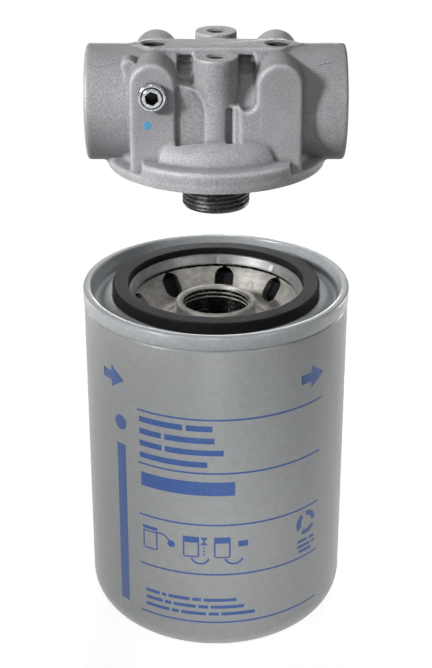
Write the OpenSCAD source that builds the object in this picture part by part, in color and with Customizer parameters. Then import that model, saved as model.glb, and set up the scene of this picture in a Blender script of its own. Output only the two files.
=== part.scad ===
// Spin-on hydraulic filter: a cast head with two ports, a threaded nipple, a bypass valve
// and a plugged indicator port, and below it the screw-on canister, shown unscrewed.
// The origin is the centre of the flat mounting face on top. +Z is up, the ports run along X.

/* [Head body] */
// Length of the head over its two port ends
head_len = 117.6; // [112:0.2:126]
// Outer radius of the port tube
tube_r = 26.4; // [25.5:0.1:27]
// Height of the mounting face above the port axis
axis_drop = 27.1; // [27:0.1:29]
// Core radius of the port threads
port_r = 19.5; // [17:0.1:21]
// Depth of the port threads
port_depth = 19; // [16:0.5:19.5]
// Radius of the oil galleries behind the ports
gallery_r = 14.5; // [13:0.1:15]
// Thickness of the wall between the inlet and the outlet gallery
divider_t = 5; // [4:0.5:7]
// Rounding of the cast edges
cast_edge = 1.6; // [0.8:0.1:2]

/* [Mounting] */
// Half width of the flat mounting strip
strip_half_w = 8.6; // [7:0.1:10]
// Length of the mounting strip between its pointed ends
strip_len = 80; // [74:0.5:86]
// Spacing of the two mounting holes along the strip
mount_pitch = 55.8; // [52:0.1:58]
// Core radius of the mounting holes
mount_hole_r = 5.1; // [4:0.05:5.4]
// Depth of the mounting holes
mount_hole_depth = 10; // [8:0.5:11]
// Spacing of the front and the back column
column_pitch = 45.6; // [43:0.1:48]
// Radius of the columns
column_r = 9.7; // [9:0.1:10.2]
// Core radius of the tapped holes in the columns
column_hole_r = 3.4; // [2.5:0.05:4.2]
// Depth of the tapped holes in the columns
column_hole_depth = 14; // [10:0.5:16]

/* [Pads and webs] */
// Half width of the arched pads
pad_r = 10.2; // [9:0.1:10.6]
// Distance of the pad faces from the middle plane
pad_face = 32; // [31:0.1:33]
// Depth of the arch crests below the mounting face
crest_drop = 1.2; // [1:0.1:2]
// Recess of the web left of the columns, from the pad faces
web_recess = 0.8; // [0.4:0.1:1.5]
// Height of the left web above the port axis, at the pad
web_top = 18; // [15:0.5:19]
// Height of the right web above the port axis
slot_floor = 4.5; // [2:0.5:8]

/* [Flange] */
// Radius of the round flange
flange_r = 50.5; // [50.2:0.1:52]
// Depth of the sealing face below the port axis
seat_drop = 27; // [26.9:0.1:29]
// Thickness of the flange
flange_t = 4; // [3:0.1:5]
// Half width of the raised ledge at the front and the back
ledge_half_w = 32.7; // [31:0.1:34]
// Height of the ledge above the sealing face
ledge_h = 9; // [7:0.1:10]
// Radius of the domed chamber wall at the front and the back
dome_r = 43; // [42:0.1:44.5]
// Half width of the dome
dome_half_w = 25.2; // [24:0.1:27]
// Height of the dome above the sealing face
dome_h = 18; // [15:0.1:20]
// Radius of the dome's round shoulders
dome_round = 9; // [6:0.1:9.5]
// Radius of the chamber's cast wall
drum_r = 45; // [43.5:0.1:46.5]
// Height of the chamber's cast wall above the sealing face
drum_h = 8; // [6:0.1:9]

/* [Inlet chamber] */
// Radius of the inlet chamber
chamber_r = 38; // [36:0.1:40]
// Thickness of the roof between the chamber and the galleries
roof_t = 6; // [5.6:0.1:6.2]
// Radius of the boss that holds the nipple
nipple_boss_r = 19; // [18.5:0.1:20.5]
// Recess of that boss behind the sealing face
boss_recess = 2; // [1:0.1:3]

/* [Nipple] */
// Outside radius of the nipple's thread
nipple_r = 15.87; // [15:0.01:16.5]
// Radius of the nipple's bore
nipple_bore_r = 11.5; // [10:0.1:12.5]
// Length of the nipple below the sealing face
nipple_reach = 22.4; // [20:0.1:24]
// Length of the nipple held above the sealing face
nipple_grip = 11; // [9:0.1:11.5]
// Radius of the nipple's round end
nipple_round = 2; // [1:0.1:3]

/* [Indicator port] */
// Height of the indicator port above the port axis
plug_height = 12; // [9:0.1:13]
// Radius of the plug's head
plug_head_r = 6.2; // [5.8:0.1:7]
// Height of the plug's head
plug_head_h = 4.2; // [3:0.1:5]
// Radius of the plug's threaded shank
plug_shank_r = 4.3; // [3.5:0.05:4.5]
// Length of the plug's threaded shank
plug_shank_len = 9; // [7:0.1:10]
// Width across the flats of the plug's socket
plug_socket_w = 6; // [5:0.1:7]
// Thickness of the plug's seal
plug_seal_t = 1; // [0.6:0.1:1.6]
// Radius of the pressure tapping behind the plug
tapping_r = 1.5; // [1:0.1:2]

/* [Bypass valve] */
// Distance of the bypass valve from the filter's axis
bypass_x = 28; // [27:0.1:28.5]
// Radius of the valve seat's neck
seat_r = 7.4; // [7:0.1:7.8]
// Radius of the valve seat's flange
seat_flange_r = 8.8; // [8.5:0.1:9]
// Radius of the hole through the valve seat
seat_hole_r = 4.6; // [4:0.1:5]
// Radius of the poppet's head
poppet_r = 5.7; // [5.4:0.1:5.9]
// Thickness of the poppet's head
poppet_t = 1.8; // [1.2:0.1:2.4]
// Radius of the poppet's stem
stem_r = 2; // [1.6:0.05:2.4]
// Running clearance of the stem in its guide
stem_clear = 0.06; // [0.03:0.01:0.1]
// Height of the spring cage above the seat
cage_h = 17; // [15:0.5:18]
// Thickness of the cage's metal
cage_t = 1.2; // [1:0.1:1.4]
// Radius of the bypass spring, to the middle of its wire
bypass_spring_r = 3.7; // [3.4:0.1:4.2]
// Radius of the bypass spring's wire
bypass_wire_r = 0.5; // [0.4:0.05:0.6]
// Thickness of the retaining ring under the valve seat
circlip_t = 1.1; // [0.9:0.1:1.3]

/* [Canister] */
// Gap between the head's sealing face and the canister's rim, as shown
shown_gap = 62.6; // [40:0.2:90]
// Outside radius of the canister's shell
can_r = 63.6; // [63:0.1:66]
// Height of the canister, from the rim to the bottom
can_h = 175; // [160:1:220]
// Thickness of the shell's steel
shell_t = 1; // [0.8:0.1:1.2]
// Outside radius of the bottom corner
can_corner_r = 18; // [12:0.5:22]
// Radius of the dished part of the bottom
dish_r = 34; // [28:0.5:36]
// Depth of the dish in the bottom
dish_h = 3; // [2:0.1:5]

/* [Rolled seam and lid] */
// How far the rolled seam stands out of the shell
seam_proud = 0.4; // [0.2:0.1:0.8]
// Height of the rolled seam
seam_h = 6.7; // [6:0.1:8]
// Width of the rolled seam
seam_w = 3.9; // [3.7:0.1:4.2]
// Thickness of the lid's steel
lid_t = 1.1; // [0.9:0.1:1.2]
// Depth of the moat between the seam and the gasket
moat_d = 7.6; // [7:0.1:8.6]
// Depth of the lip that stands outside the gasket, below the rim
land_d = 4.9; // [4.4:0.1:5.2]
// Depth of the crimped inner lip's crest, below the rim
lip_d = 2.6; // [2:0.1:3.5]
// Width of the crimped lip, from the gasket inwards
lip_w = 3.2; // [2.8:0.1:3.6]

/* [Gasket] */
// Width of the moat between the rolled seam and the gasket
moat_w = 10.2; // [9.8:0.1:11]
// Width of the gasket
gasket_w = 7.8; // [7:0.1:8.2]
// Height of the gasket
gasket_h = 6.5; // [6:0.1:7]
// How far the gasket stands above the rim
gasket_proud = 0.5; // [0.3:0.1:1]
// Clearance of the gasket in its channel
gasket_clear = 0.15; // [0.1:0.05:0.3]

/* [Base plate] */
// How far the base plate reaches out past the gasket
plate_reach = 2.1; // [1.2:0.1:2.5]
// Thickness of the base plate
plate_t = 3.5; // [3:0.1:4]
// How far the top of the plate's cone lies inside the gasket
cone_inset = 2.1; // [1.2:0.1:2.6]
// Width of the plate's cone, seen from above
cone_w = 9.2; // [8:0.1:9.6]
// Depth of the plate's cone
cone_h = 13.7; // [12:0.1:15]
// Outer radius of the threaded boss
boss_r = 19.3; // [18.8:0.1:20]
// Depth of the boss's mouth below the rim
boss_top_d = 9.5; // [9:0.1:12]
// Length of the boss's thread
boss_len = 20.5; // [19:0.1:22]
// Fillet at the foot of the boss
boss_fillet = 5; // [3:0.1:6]
// Clearance between the nipple and the boss's thread
thread_clear = 0.08; // [0.04:0.01:0.1]
// Number of oil holes in the cone
hole_count = 8; // [6:1:10]
// Width of an oil hole
hole_w = 9.6; // [8:0.1:10]
// Length of an oil hole down the cone
hole_len = 13; // [12:0.1:14]
// Turn of the holes about the axis, clockwise from the back
hole_turn = 6.5; // [0:0.5:40]

/* [Filter element] */
// Width of the oil passage between the element and the shell
passage_w = 6.6; // [5:0.1:8]
// Thickness of the end caps' steel
cap_t = 0.8; // [0.6:0.1:1]
// Height of the end caps' rims
cap_rim = 5; // [4:0.5:7]
// Outer radius of the seal between the plate and the element
element_seal_r = 25; // [23:0.1:27]
// Height of that seal
element_seal_h = 5; // [4:0.1:5.6]
// Thickness of the rubber flap that covers the oil holes from below
flap_t = 1.2; // [0.8:0.1:1.6]
// Gap between the flap and the plate's cone
flap_gap = 0.8; // [0.4:0.1:1.4]
// Inner radius of the upper cap's hole
cap_hole_r = 20; // [19.8:0.1:20.8]
// Outer radius of the centre tube
centre_tube_r = 25; // [23.5:0.1:27]
// Thickness of the centre tube
centre_tube_t = 1; // [0.8:0.1:1.2]
// Radius of the holes in the centre tube
tube_hole_r = 3; // [2:0.1:3.5]
// Rows of holes up the centre tube
tube_hole_rows = 8; // [6:1:10]
// Number of pleats in the filter medium
pleat_count = 44; // [36:1:50]
// Thickness of the filter medium
media_t = 0.9; // [0.7:0.1:1]
// Gap between the pleats and the parts beside them
media_gap = 0.5; // [0.3:0.1:0.8]
// Height of the support spring
support_h = 11; // [9:0.5:14]
// How far the middle of the support spring's wire lies inside the end cap's rim
support_inset = 17; // [15:0.5:18.5]
// Radius of the support spring's wire
support_wire_r = 1.2; // [1:0.1:1.5]

/* [Hidden] */
$fn = 96;
eps = 0.01;
big = 400;

cast_metal = [0.60, 0.60, 0.61];
dark_steel = [0.28, 0.28, 0.29];
bare_steel = [0.62, 0.61, 0.59];
plated = [0.75, 0.76, 0.78];
enamel = [0.62, 0.65, 0.63];
rubber_black = [0.07, 0.07, 0.08];
media_cream = [0.86, 0.83, 0.72];
spring_steel = [0.45, 0.46, 0.48];

// Levels of the head, measured from the port axis
mount_x = mount_pitch / 2;
column_y = column_pitch / 2;
crest_z = axis_drop - crest_drop;
arch_z = crest_z - pad_r;
seal_z = -seat_drop;
flange_top = seal_z + flange_t;
dome_top = seal_z + dome_h;
chamber_roof = -gallery_r - roof_t;
mouth_w = 1.4;
chamfer = 1;
slab_recess = 0.2;
slot_r = (mount_x - pad_r - column_r) / 2 - 0.5;
// Levels of the bypass valve, measured from the port axis
seat_flange_t = 1.6;
seat_step_z = chamber_roof + 3.6;
seat_top = -sqrt(gallery_r * gallery_r - seat_r * seat_r) + 0.4;
cage_in_r = poppet_r + 0.5;
cage_top = seat_top + cage_h;
// Levels of the canister, measured from its rim
seam_r = can_r + seam_proud;
seam_in_r = seam_r - seam_w;
gasket_or = seam_in_r - moat_w;
gasket_ir = gasket_or - gasket_w;
lip_r = gasket_ir - lip_w;
plate_r = gasket_or + plate_reach;
cone_top_r = gasket_ir - cone_inset;
cone_foot_r = cone_top_r - cone_w;
cap_r = can_r - shell_t - passage_w;
support_r = cap_r - support_inset;
channel_z = gasket_proud - gasket_h;
plate_top = channel_z - lid_t;
plate_floor = plate_top - cone_h;
boss_end = -boss_top_d - boss_len;
thread_r = nipple_r + thread_clear;
seal_top = plate_floor - plate_t;
wall_shift = plate_t * cone_h / norm([cone_h, cone_w]);
under_foot = [cone_foot_r + wall_shift / 2, seal_top];
under_top = [cone_top_r + wall_shift, plate_top - plate_t];
cap_top = seal_top - element_seal_h;
floor_z = shell_t - can_h;
lower_cap_z = floor_z + support_h;
media_top = cap_top - cap_t - media_gap;
media_bottom = lower_cap_z + cap_t + media_gap;
rim_z = -axis_drop - seat_drop - shown_gap;

function arc(centre, r, a0, a1, n = 6) =
    [for (i = [0:n]) centre + r * [cos(a0 + (a1 - a0) * i / n), sin(a0 + (a1 - a0) * i / n)]];

// A rectangle with round corners, centred on the origin
module round_rect(w, h, r) {
    square([w - 2 * r, h], center = true);
    square([w, h - 2 * r], center = true);
    for (x = [-1, 1], y = [-1, 1])
        translate([x * (w / 2 - r), y * (h / 2 - r)]) circle(r);
}

// Half section of a round bar from 0 to h with round edges, for turning about Y
module bar_section(r, h, edge, lower = true) {
    foot = lower ? edge : 0;
    square([r - edge, h]);
    translate([0, foot]) square([r, h - edge - foot]);
    translate([r - edge, h - edge]) circle(edge);
    if (lower) translate([r - edge, edge]) circle(edge);
}

// Places a child at the head's port axis
module at_axis() {
    translate([0, 0, -axis_drop]) children();
}

// Places a child at the canister's rim
module at_rim() {
    translate([0, 0, rim_z]) children();
}

// Places a child on the bypass valve's axis
module at_bypass() {
    at_axis() translate([bypass_x, 0, 0]) children();
}

// Spring wire wound between two levels, as rings of points joined into one skin
module coil(r, wire_r, z0, z1, turns, sides = 6, per_turn = 16) {
    steps = turns * per_turn;
    rise = z1 - z0 - 2 * wire_r;
    points = [for (i = [0:steps], j = [0:sides - 1])
        let (turn = 360 * i / per_turn, side = 360 * j / sides, reach = r + wire_r * cos(side))
        [reach * cos(turn), reach * sin(turn), z0 + wire_r + rise * i / steps + wire_r * sin(side)]];
    faces = concat(
        [[for (j = [0:sides - 1]) j]],
        [for (i = [0:steps - 1], j = [0:sides - 1])
            [i * sides + j, (i + 1) * sides + j,
             (i + 1) * sides + (j + 1) % sides, i * sides + (j + 1) % sides]],
        [[for (j = [sides - 1:-1:0]) steps * sides + j]]);
    polyhedron(points, faces);
}

// The round tube that carries both ports
module port_tube() {
    translate([-head_len / 2, 0, 0]) rotate([90, 0, 90])
        rotate_extrude() bar_section(tube_r, head_len, cast_edge);
}

// The flat strip on top, with pointed ends that run out on the tube
module mounting_strip() {
    tip = strip_len / 2;
    shoulder = tip - 1.2 * strip_half_w;
    linear_extrude(axis_drop)
        polygon([[tip, 0], [shoulder, strip_half_w], [-shoulder, strip_half_w],
                 [-tip, 0], [-shoulder, -strip_half_w], [shoulder, -strip_half_w]]);
}

// One arched bar through the body, which shows as a pad at the front and the back
module arched_pad() {
    translate([0, pad_face, arch_z]) rotate([90, 0, 0])
        rotate_extrude() bar_section(pad_r, 2 * pad_face, cast_edge);
    translate([0, 0, flange_top - eps]) linear_extrude(arch_z - flange_top + eps)
        round_rect(2 * pad_r, 2 * pad_face, cast_edge);
}

// Webs that join one column to the pads beside it, at the front
module front_webs() {
    reach = mount_x - pad_r / 2;
    left_edge = column_r * 0.5;
    corner = column_r - left_edge;
    low = web_top - 3.5;
    // Left of the column: a panel with a sloping top and one round corner
    translate([0, web_recess - pad_face, 0]) rotate([-90, 0, 0]) linear_extrude(pad_face)
        polygon(concat([[-reach, 1 - flange_top], [-reach, -web_top], [-column_r, -low]],
                       arc([-column_r, corner - low], corner, -90, 0),
                       [[-left_edge, 1 - flange_top]]));
    // Right of the column: a lower slab with a thin step beside the column
    slab_x = column_r + 0.6;
    translate([slab_x, slab_recess - pad_face, flange_top - 1])
        cube([reach - slab_x, pad_face, slot_floor + slot_r - flange_top]);
    translate([1, slab_recess + 1 - pad_face, flange_top - 1])
        cube([slab_x, pad_face, slot_floor + slot_r - flange_top]);
}

// Round floor of the slot between the column and the right pad
module slot_cut() {
    slot_x = (column_r + mount_x - pad_r) / 2;
    translate([slot_x, -pad_face - 1, slot_floor + slot_r]) rotate([-90, 0, 0])
        cylinder(r = slot_r, h = pad_face - tube_r + 7);
}

// The dome over the inlet chamber and the ledge before it, at the front
module front_dome() {
    intersection() {
        translate([0, 0, seal_z + eps]) rotate_extrude() bar_section(dome_r, dome_h, dome_round, false);
        rotate([90, 0, 0]) linear_extrude(flange_r) intersection() {
            translate([0, seal_z]) round_rect(2 * dome_half_w, 2 * dome_h + 1, dome_round);
            translate([-dome_half_w, seal_z + ledge_h / 2]) square([2 * dome_half_w, dome_h]);
        }
    }
    intersection() {
        translate([0, 0, seal_z + flange_t / 2]) rotate_extrude()
            bar_section(flange_r - cast_edge / 5, ledge_h - flange_t / 2, cast_edge, false);
        translate([-ledge_half_w, -flange_r, seal_z])
            cube([2 * ledge_half_w, flange_r - drum_r / 2, 2 * ledge_h]);
    }
}

// Everything that is cast solid, before any hole is made
module casting_outside() {
    port_tube();
    mounting_strip();
    for (side = [-1, 1]) translate([side * mount_x, 0, 0]) arched_pad();
    for (side = [-1, 1]) translate([0, side * column_y, seal_z + eps])
        rotate_extrude() bar_section(column_r, axis_drop - seal_z - eps, cast_edge / 2, false);
    translate([0, 0, seal_z]) rotate_extrude() bar_section(flange_r, flange_t, cast_edge / 2);
    translate([0, 0, seal_z + eps])
        rotate_extrude() bar_section(drum_r, drum_h, cast_edge, false);
    for (turn = [0, 1]) mirror([0, turn, 0]) {
        difference() {
            front_webs();
            slot_cut();
        }
        front_dome();
    }
}

// Threaded port and gallery on one side: length is how far the gallery runs past the middle
module port_way(past_middle) {
    end = head_len / 2;
    rotate([0, 90, 0]) {
        translate([0, 0, -past_middle]) cylinder(r = gallery_r, h = end + past_middle - port_depth + eps);
        translate([0, 0, end - port_depth]) cylinder(r = port_r, h = port_depth + eps);
        translate([0, 0, end - mouth_w])
            cylinder(r1 = port_r, r2 = port_r + mouth_w + eps, h = mouth_w + eps);
    }
}

// Tapped hole with a chamfered mouth at z 0, downwards
module tapped_hole(r, depth) {
    translate([0, 0, -depth]) cylinder(r = r, h = depth + eps);
    translate([0, 0, -chamfer]) cylinder(r1 = r, r2 = r + chamfer + eps, h = chamfer + eps);
}

// The ring-shaped inlet chamber around the nipple's boss, and its way up to the inlet gallery
module inlet_chamber() {
    translate([0, 0, seal_z - eps]) difference() {
        cylinder(r = chamber_r, h = chamber_roof - seal_z + eps);
        translate([0, 0, boss_recess]) cylinder(r = nipple_boss_r, h = chamber_roof - seal_z + eps);
    }
    way_in = nipple_boss_r + 2;
    way_out = chamber_r - 3;
    translate([-way_out, -gallery_r * 0.6, chamber_roof - eps])
        cube([way_out - way_in, gallery_r * 1.2, roof_t + gallery_r / 2]);
}

// Stepped bore for the bypass valve, entered from the chamber
module bypass_pocket() {
    translate([bypass_x, 0, 0]) {
        translate([0, 0, chamber_roof - eps]) cylinder(r = seat_r, h = roof_t + gallery_r / 2);
        translate([0, 0, chamber_roof - eps])
            cylinder(r = seat_flange_r + 0.1, h = seat_step_z - chamber_roof + eps);
        translate([0, 0, seat_step_z - seat_flange_t - circlip_t])
            cylinder(r = seat_flange_r + 0.9, h = circlip_t);
    }
}

module head_casting() {
    color(cast_metal) at_axis() difference() {
        casting_outside();
        port_way(nipple_bore_r + 1.5);
        mirror([1, 0, 0]) port_way(-nipple_bore_r - 1.5 - divider_t);
        inlet_chamber();
        translate([0, 0, seal_z - eps]) cylinder(r = nipple_r, h = nipple_grip + eps);
        translate([0, 0, seal_z]) cylinder(r = nipple_bore_r, h = seat_drop);
        bypass_pocket();
        for (side = [-1, 1]) translate([side * mount_x, 0, axis_drop])
            tapped_hole(mount_hole_r, mount_hole_depth);
        for (side = [-1, 1]) translate([0, side * column_y, axis_drop])
            tapped_hole(column_hole_r, column_hole_depth);
        translate([-mount_x, -pad_face, plug_height]) rotate([90, 0, 0]) {
            tapped_hole(plug_shank_r, plug_shank_len + 1);
            translate([0, 0, -pad_face]) cylinder(r = tapping_r, h = pad_face);
        }
    }
}

// The nipple that the canister screws onto; its thread is at the full radius
module threaded_nipple() {
    top = seal_z + nipple_grip;
    bottom = seal_z - nipple_reach;
    color(dark_steel) at_axis() rotate_extrude() difference() {
        translate([0, bottom]) {
            square([nipple_r - nipple_round, top - bottom]);
            translate([0, nipple_round]) square([nipple_r, top - bottom - nipple_round]);
            translate([nipple_r - nipple_round, nipple_round]) circle(nipple_round);
        }
        translate([-eps, bottom - eps]) square([nipple_bore_r + eps, big]);
    }
}

// Socket plug in the indicator port, with the head, a chamfer and a threaded shank
module indicator_plug() {
    under = plug_seal_t;
    top = under + plug_head_h;
    edge = 0.8;
    color(plated) at_axis() translate([-mount_x, -pad_face, plug_height]) rotate([90, 0, 0])
        difference() {
            rotate_extrude() polygon([[0, -plug_shank_len], [plug_shank_r - edge, -plug_shank_len],
                [plug_shank_r, edge - plug_shank_len], [plug_shank_r, under], [plug_head_r, under],
                [plug_head_r, top - edge], [plug_head_r - edge, top], [0, top]]);
            translate([0, 0, top - plug_head_h]) rotate([0, 0, 30])
                cylinder(d = plug_socket_w / cos(30), h = plug_head_h + eps, $fn = 6);
        }
}

// Bonded seal under the plug's head
module plug_seal() {
    color(rubber_black) at_axis() translate([-mount_x, -pad_face, plug_height]) rotate([90, 0, 0])
        difference() {
            cylinder(r = plug_head_r - 0.3, h = plug_seal_t);
            translate([0, 0, -eps]) cylinder(r = plug_shank_r, h = plug_seal_t + 2 * eps);
        }
}

// Seat of the bypass valve, held up in the chamber's roof by its flange
module bypass_seat() {
    color(bare_steel) at_bypass() difference() {
        union() {
            translate([0, 0, seat_step_z - seat_flange_t])
                cylinder(r = seat_flange_r, h = seat_flange_t);
            translate([0, 0, seat_step_z - eps]) cylinder(r = seat_r, h = seat_top - seat_step_z + eps);
        }
        translate([0, 0, chamber_roof]) cylinder(r = seat_hole_r, h = seat_top - chamber_roof + eps);
    }
}

// Pressed cage on the seat: a ring, three legs and a top plate that guides the stem
module bypass_cage() {
    window_w = 8;
    color(bare_steel) at_bypass() difference() {
        translate([0, 0, seat_top]) cylinder(r = seat_r, h = cage_h);
        translate([0, 0, seat_top - eps]) cylinder(r = cage_in_r, h = cage_h - cage_t + eps);
        translate([0, 0, seat_top]) cylinder(r = stem_r + stem_clear, h = cage_h + eps);
        for (turn = [0, 120, 240]) rotate([0, 0, turn + 60])
            translate([cage_in_r / 2, -window_w / 2, seat_top + 2])
                cube([seat_r, window_w, cage_h - cage_t - 3]);
    }
}

// Retaining ring in its groove under the valve seat, open on one side
module bypass_circlip() {
    gap = 4;
    color(spring_steel) at_bypass() translate([0, 0, seat_step_z - seat_flange_t - circlip_t])
        difference() {
            cylinder(r = seat_flange_r + 0.8, h = circlip_t);
            translate([0, 0, -eps]) cylinder(r = seat_flange_r - 1.4, h = circlip_t + 2 * eps);
            translate([0, -gap / 2, -eps]) cube([2 * seat_flange_r, gap, circlip_t + 2 * eps]);
        }
}

// Spring between the poppet's head and the top of the cage
module bypass_spring() {
    color(spring_steel) at_bypass()
        coil(bypass_spring_r, bypass_wire_r, seat_top + poppet_t, cage_top - cage_t, 6);
}

// Poppet of the bypass valve: it lifts off its seat when the element is clogged
module bypass_poppet() {
    color(plated) at_bypass() {
        translate([0, 0, seat_top]) cylinder(r = poppet_r, h = poppet_t);
        translate([0, 0, seat_top]) cylinder(r = stem_r, h = cage_h + 2);
    }
}

// Outline of the canister's shell, shrunk by inset: dished bottom, round corner, wall and neck
module shell_section(inset, top) {
    bottom = -can_h + inset;
    corner = can_corner_r - inset;
    r = can_r - inset;
    neck_r = seam_r - lid_t - inset;
    shoulder_z = -seam_h - lid_t - inset / 2;
    dish_sphere = (dish_r * dish_r + dish_h * dish_h) / (2 * dish_h);
    difference() {
        union() {
            translate([0, bottom + corner]) square([r, shoulder_z - bottom - corner]);
            polygon([[0, shoulder_z - 1], [r, shoulder_z - 1], [r, shoulder_z],
                     [neck_r, shoulder_z + r - neck_r], [neck_r, top], [0, top]]);
            translate([0, bottom]) square([r - corner, 2 * corner]);
            translate([r - corner, bottom + corner]) circle(corner);
        }
        translate([0, -can_h + dish_h - dish_sphere]) circle(dish_sphere + inset);
        translate([-can_r, -2 * can_h]) square([can_r, 3 * can_h]);
    }
}

// Deep-drawn shell. Its edge steps in to run up inside the rolled seam.
module can_shell() {
    color(enamel) at_rim() rotate_extrude() difference() {
        shell_section(0, -lid_t);
        shell_section(shell_t, 1);
    }
}

// Pressed lid: rolled over the shell's edge, dished moat, gasket channel and crimped inner lip
module seaming_lid() {
    crest = 1.2;
    wall_r = seam_in_r - 0.9;
    in_r = gasket_ir - gasket_clear;
    out_r = gasket_or + gasket_clear;
    neck_r = seam_r - lid_t;
    tuck_r = neck_r - shell_t;
    color(enamel) at_rim() rotate_extrude() polygon(concat(
        [[seam_r, -seam_h]],
        arc([seam_r - crest, -crest], crest, 0, 90),
        arc([seam_in_r + crest, -crest], crest, 90, 170),
        [[wall_r, 1.2 - moat_d], [wall_r - 1.3, -moat_d], [wall_r - 4.2, 0.3 - moat_d],
         [out_r + 1, 0.3 - land_d], [out_r + 0.5, -land_d], [out_r, -land_d],
         [out_r, channel_z], [in_r, channel_z], [in_r, -lip_d - 0.5], [in_r - 0.5, -lip_d],
         [in_r - 0.9, -lip_d], [lip_r, plate_top + 0.5], [lip_r, plate_top],
         [out_r + lid_t, plate_top], [out_r + lid_t, -land_d - lid_t],
         [wall_r - 4.2, -moat_d - lid_t + 0.3], [wall_r - 1, -moat_d - lid_t],
         [tuck_r, 0.6 - moat_d], [tuck_r, -lid_t], [neck_r, -lid_t], [neck_r, -seam_h]]));
}

// Moulded gasket in the lid's channel
module lid_gasket() {
    w = gasket_or - gasket_ir;
    color(rubber_black) at_rim() rotate_extrude()
        translate([gasket_ir + w / 2, channel_z + gasket_h / 2]) round_rect(w, gasket_h, 0.7);
}

// One oval oil hole, square to the cone's wall
module oil_hole() {
    slope = atan2(cone_h, cone_w);
    mid_r = (cone_top_r + cone_foot_r) / 2;
    straight = hole_len - hole_w;
    translate([0, mid_r, plate_top - cone_h / 2]) rotate([slope, 0, 0])
        translate([0, 0, -1.5 * plate_t]) linear_extrude(3 * plate_t) {
            for (side = [-1, 1]) translate([0, side * straight / 2]) circle(d = hole_w);
            square([hole_w, straight], center = true);
        }
}

// Thick pressed plate that carries the thread: rim, cone with oil holes, floor and boss
module base_plate() {
    lead = 0.9;
    color(bare_steel) at_rim() difference() {
        rotate_extrude() polygon(concat(
            [[plate_r, plate_top], [cone_top_r, plate_top], [cone_foot_r, plate_floor]],
            arc([boss_r + boss_fillet, plate_floor + boss_fillet], boss_fillet, 270, 180),
            [[boss_r, -boss_top_d - 0.6], [boss_r - 0.6, -boss_top_d], [thread_r + lead, -boss_top_d],
             [thread_r, -boss_top_d - lead], [thread_r, boss_end], [boss_r, boss_end],
             [boss_r, seal_top], under_foot, under_top, [plate_r, plate_top - plate_t]]));
        for (i = [0:hole_count - 1]) rotate([0, 0, -hole_turn - i * 360 / hole_count]) oil_hole();
    }
}

// Seal between the base plate and the element, around the boss's lower end
module element_seal() {
    color(rubber_black) at_rim() translate([0, 0, cap_top]) difference() {
        cylinder(r = element_seal_r, h = element_seal_h);
        translate([0, 0, -eps]) cylinder(r = boss_r + eps, h = element_seal_h + 2 * eps);
    }
}

// Rubber flap under the oil holes: oil pushes past it, and it keeps the canister from draining
module drain_flap() {
    wall = norm(under_top - under_foot);
    up = (under_top - under_foot) / wall;
    out = [up[1], -up[0]];
    foot = under_foot + flap_gap * out;
    tip = foot + (wall - 3 * flap_gap) * up;
    inner_r = element_seal_r + flap_gap;
    color(rubber_black) at_rim() rotate_extrude() polygon([
        [inner_r, cap_top], [inner_r, cap_top + flap_t], [foot[0], cap_top + flap_t], foot, tip,
        tip + flap_t * out, foot + flap_t * [1, (up[1] - 1) / up[0]], [foot[0] + flap_t, cap_top]]);
}

// Upper end cap: a pressed disc with a rim, open in the middle for the boss
module upper_end_cap() {
    color(spring_steel) at_rim() translate([0, 0, cap_top - cap_rim]) difference() {
        cylinder(r = cap_r, h = cap_rim);
        translate([0, 0, -eps]) cylinder(r = cap_r - cap_t, h = cap_rim - cap_t + eps);
        cylinder(r = cap_hole_r, h = cap_rim + eps);
    }
}

// Perforated centre tube that keeps the pleats from falling in
module centre_tube() {
    top = cap_top - cap_t;
    bottom = lower_cap_z + cap_t;
    pitch = (top - bottom) / (tube_hole_rows + 1);
    color(plated) at_rim() difference() {
        translate([0, 0, bottom]) cylinder(r = centre_tube_r, h = top - bottom);
        translate([0, 0, bottom - eps])
            cylinder(r = centre_tube_r - centre_tube_t, h = top - bottom + 2 * eps);
        for (row = [1:tube_hole_rows], turn = [0:45:135])
            translate([0, 0, bottom + row * pitch]) rotate([90, 0, turn + 22.5 * (row % 2)])
                cylinder(r = tube_hole_r, h = 3 * centre_tube_r, center = true);
    }
}

// Radii of the pleats' outer and inner folds
media_or = cap_r - cap_t - media_gap;
media_ir = centre_tube_r + media_gap + media_t;

// Outline of the pleats' folds, moved outwards by shift
function fold_line(shift) = [for (i = [0:2 * pleat_count - 1])
    let (a = 180 * i / pleat_count, r = i % 2 == 0 ? media_or - media_t + shift : media_ir + shift)
    r * [cos(a), sin(a)]];

// Pleated filter medium: one star-folded sheet around the centre tube
module pleated_media() {
    color(media_cream) at_rim() translate([0, 0, media_bottom])
        linear_extrude(media_top - media_bottom) difference() {
            polygon(fold_line(media_t));
            polygon(fold_line(0));
            translate([media_ir - media_t, -0.4]) square([cap_r, 0.8]);
        }
}

// Folded steel clip that closes the sheet of pleats into a ring
module pleat_clip() {
    color(plated) at_rim() translate([media_or - media_t, -0.4, media_bottom])
        cube([media_t, 0.8, media_top - media_bottom]);
}

// Lower end cap: a closed disc with a rim, and a ring below that centres the spring
module lower_end_cap() {
    ring_r = support_r - support_wire_r - 0.4;
    ring_h = 2.5;
    color(spring_steel) at_rim() translate([0, 0, lower_cap_z]) {
        difference() {
            cylinder(r = cap_r, h = cap_rim);
            translate([0, 0, cap_t]) cylinder(r = cap_r - cap_t, h = cap_rim);
        }
        translate([0, 0, -ring_h]) difference() {
            cylinder(r = ring_r, h = ring_h + eps);
            translate([0, 0, -eps]) cylinder(r = ring_r - cap_t, h = ring_h + 3 * eps);
        }
    }
}

// Spring that holds the element up against the base plate
module support_spring() {
    color(spring_steel) at_rim()
        coil(support_r, support_wire_r, floor_z, lower_cap_z, 3, per_turn = 32);
}

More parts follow.
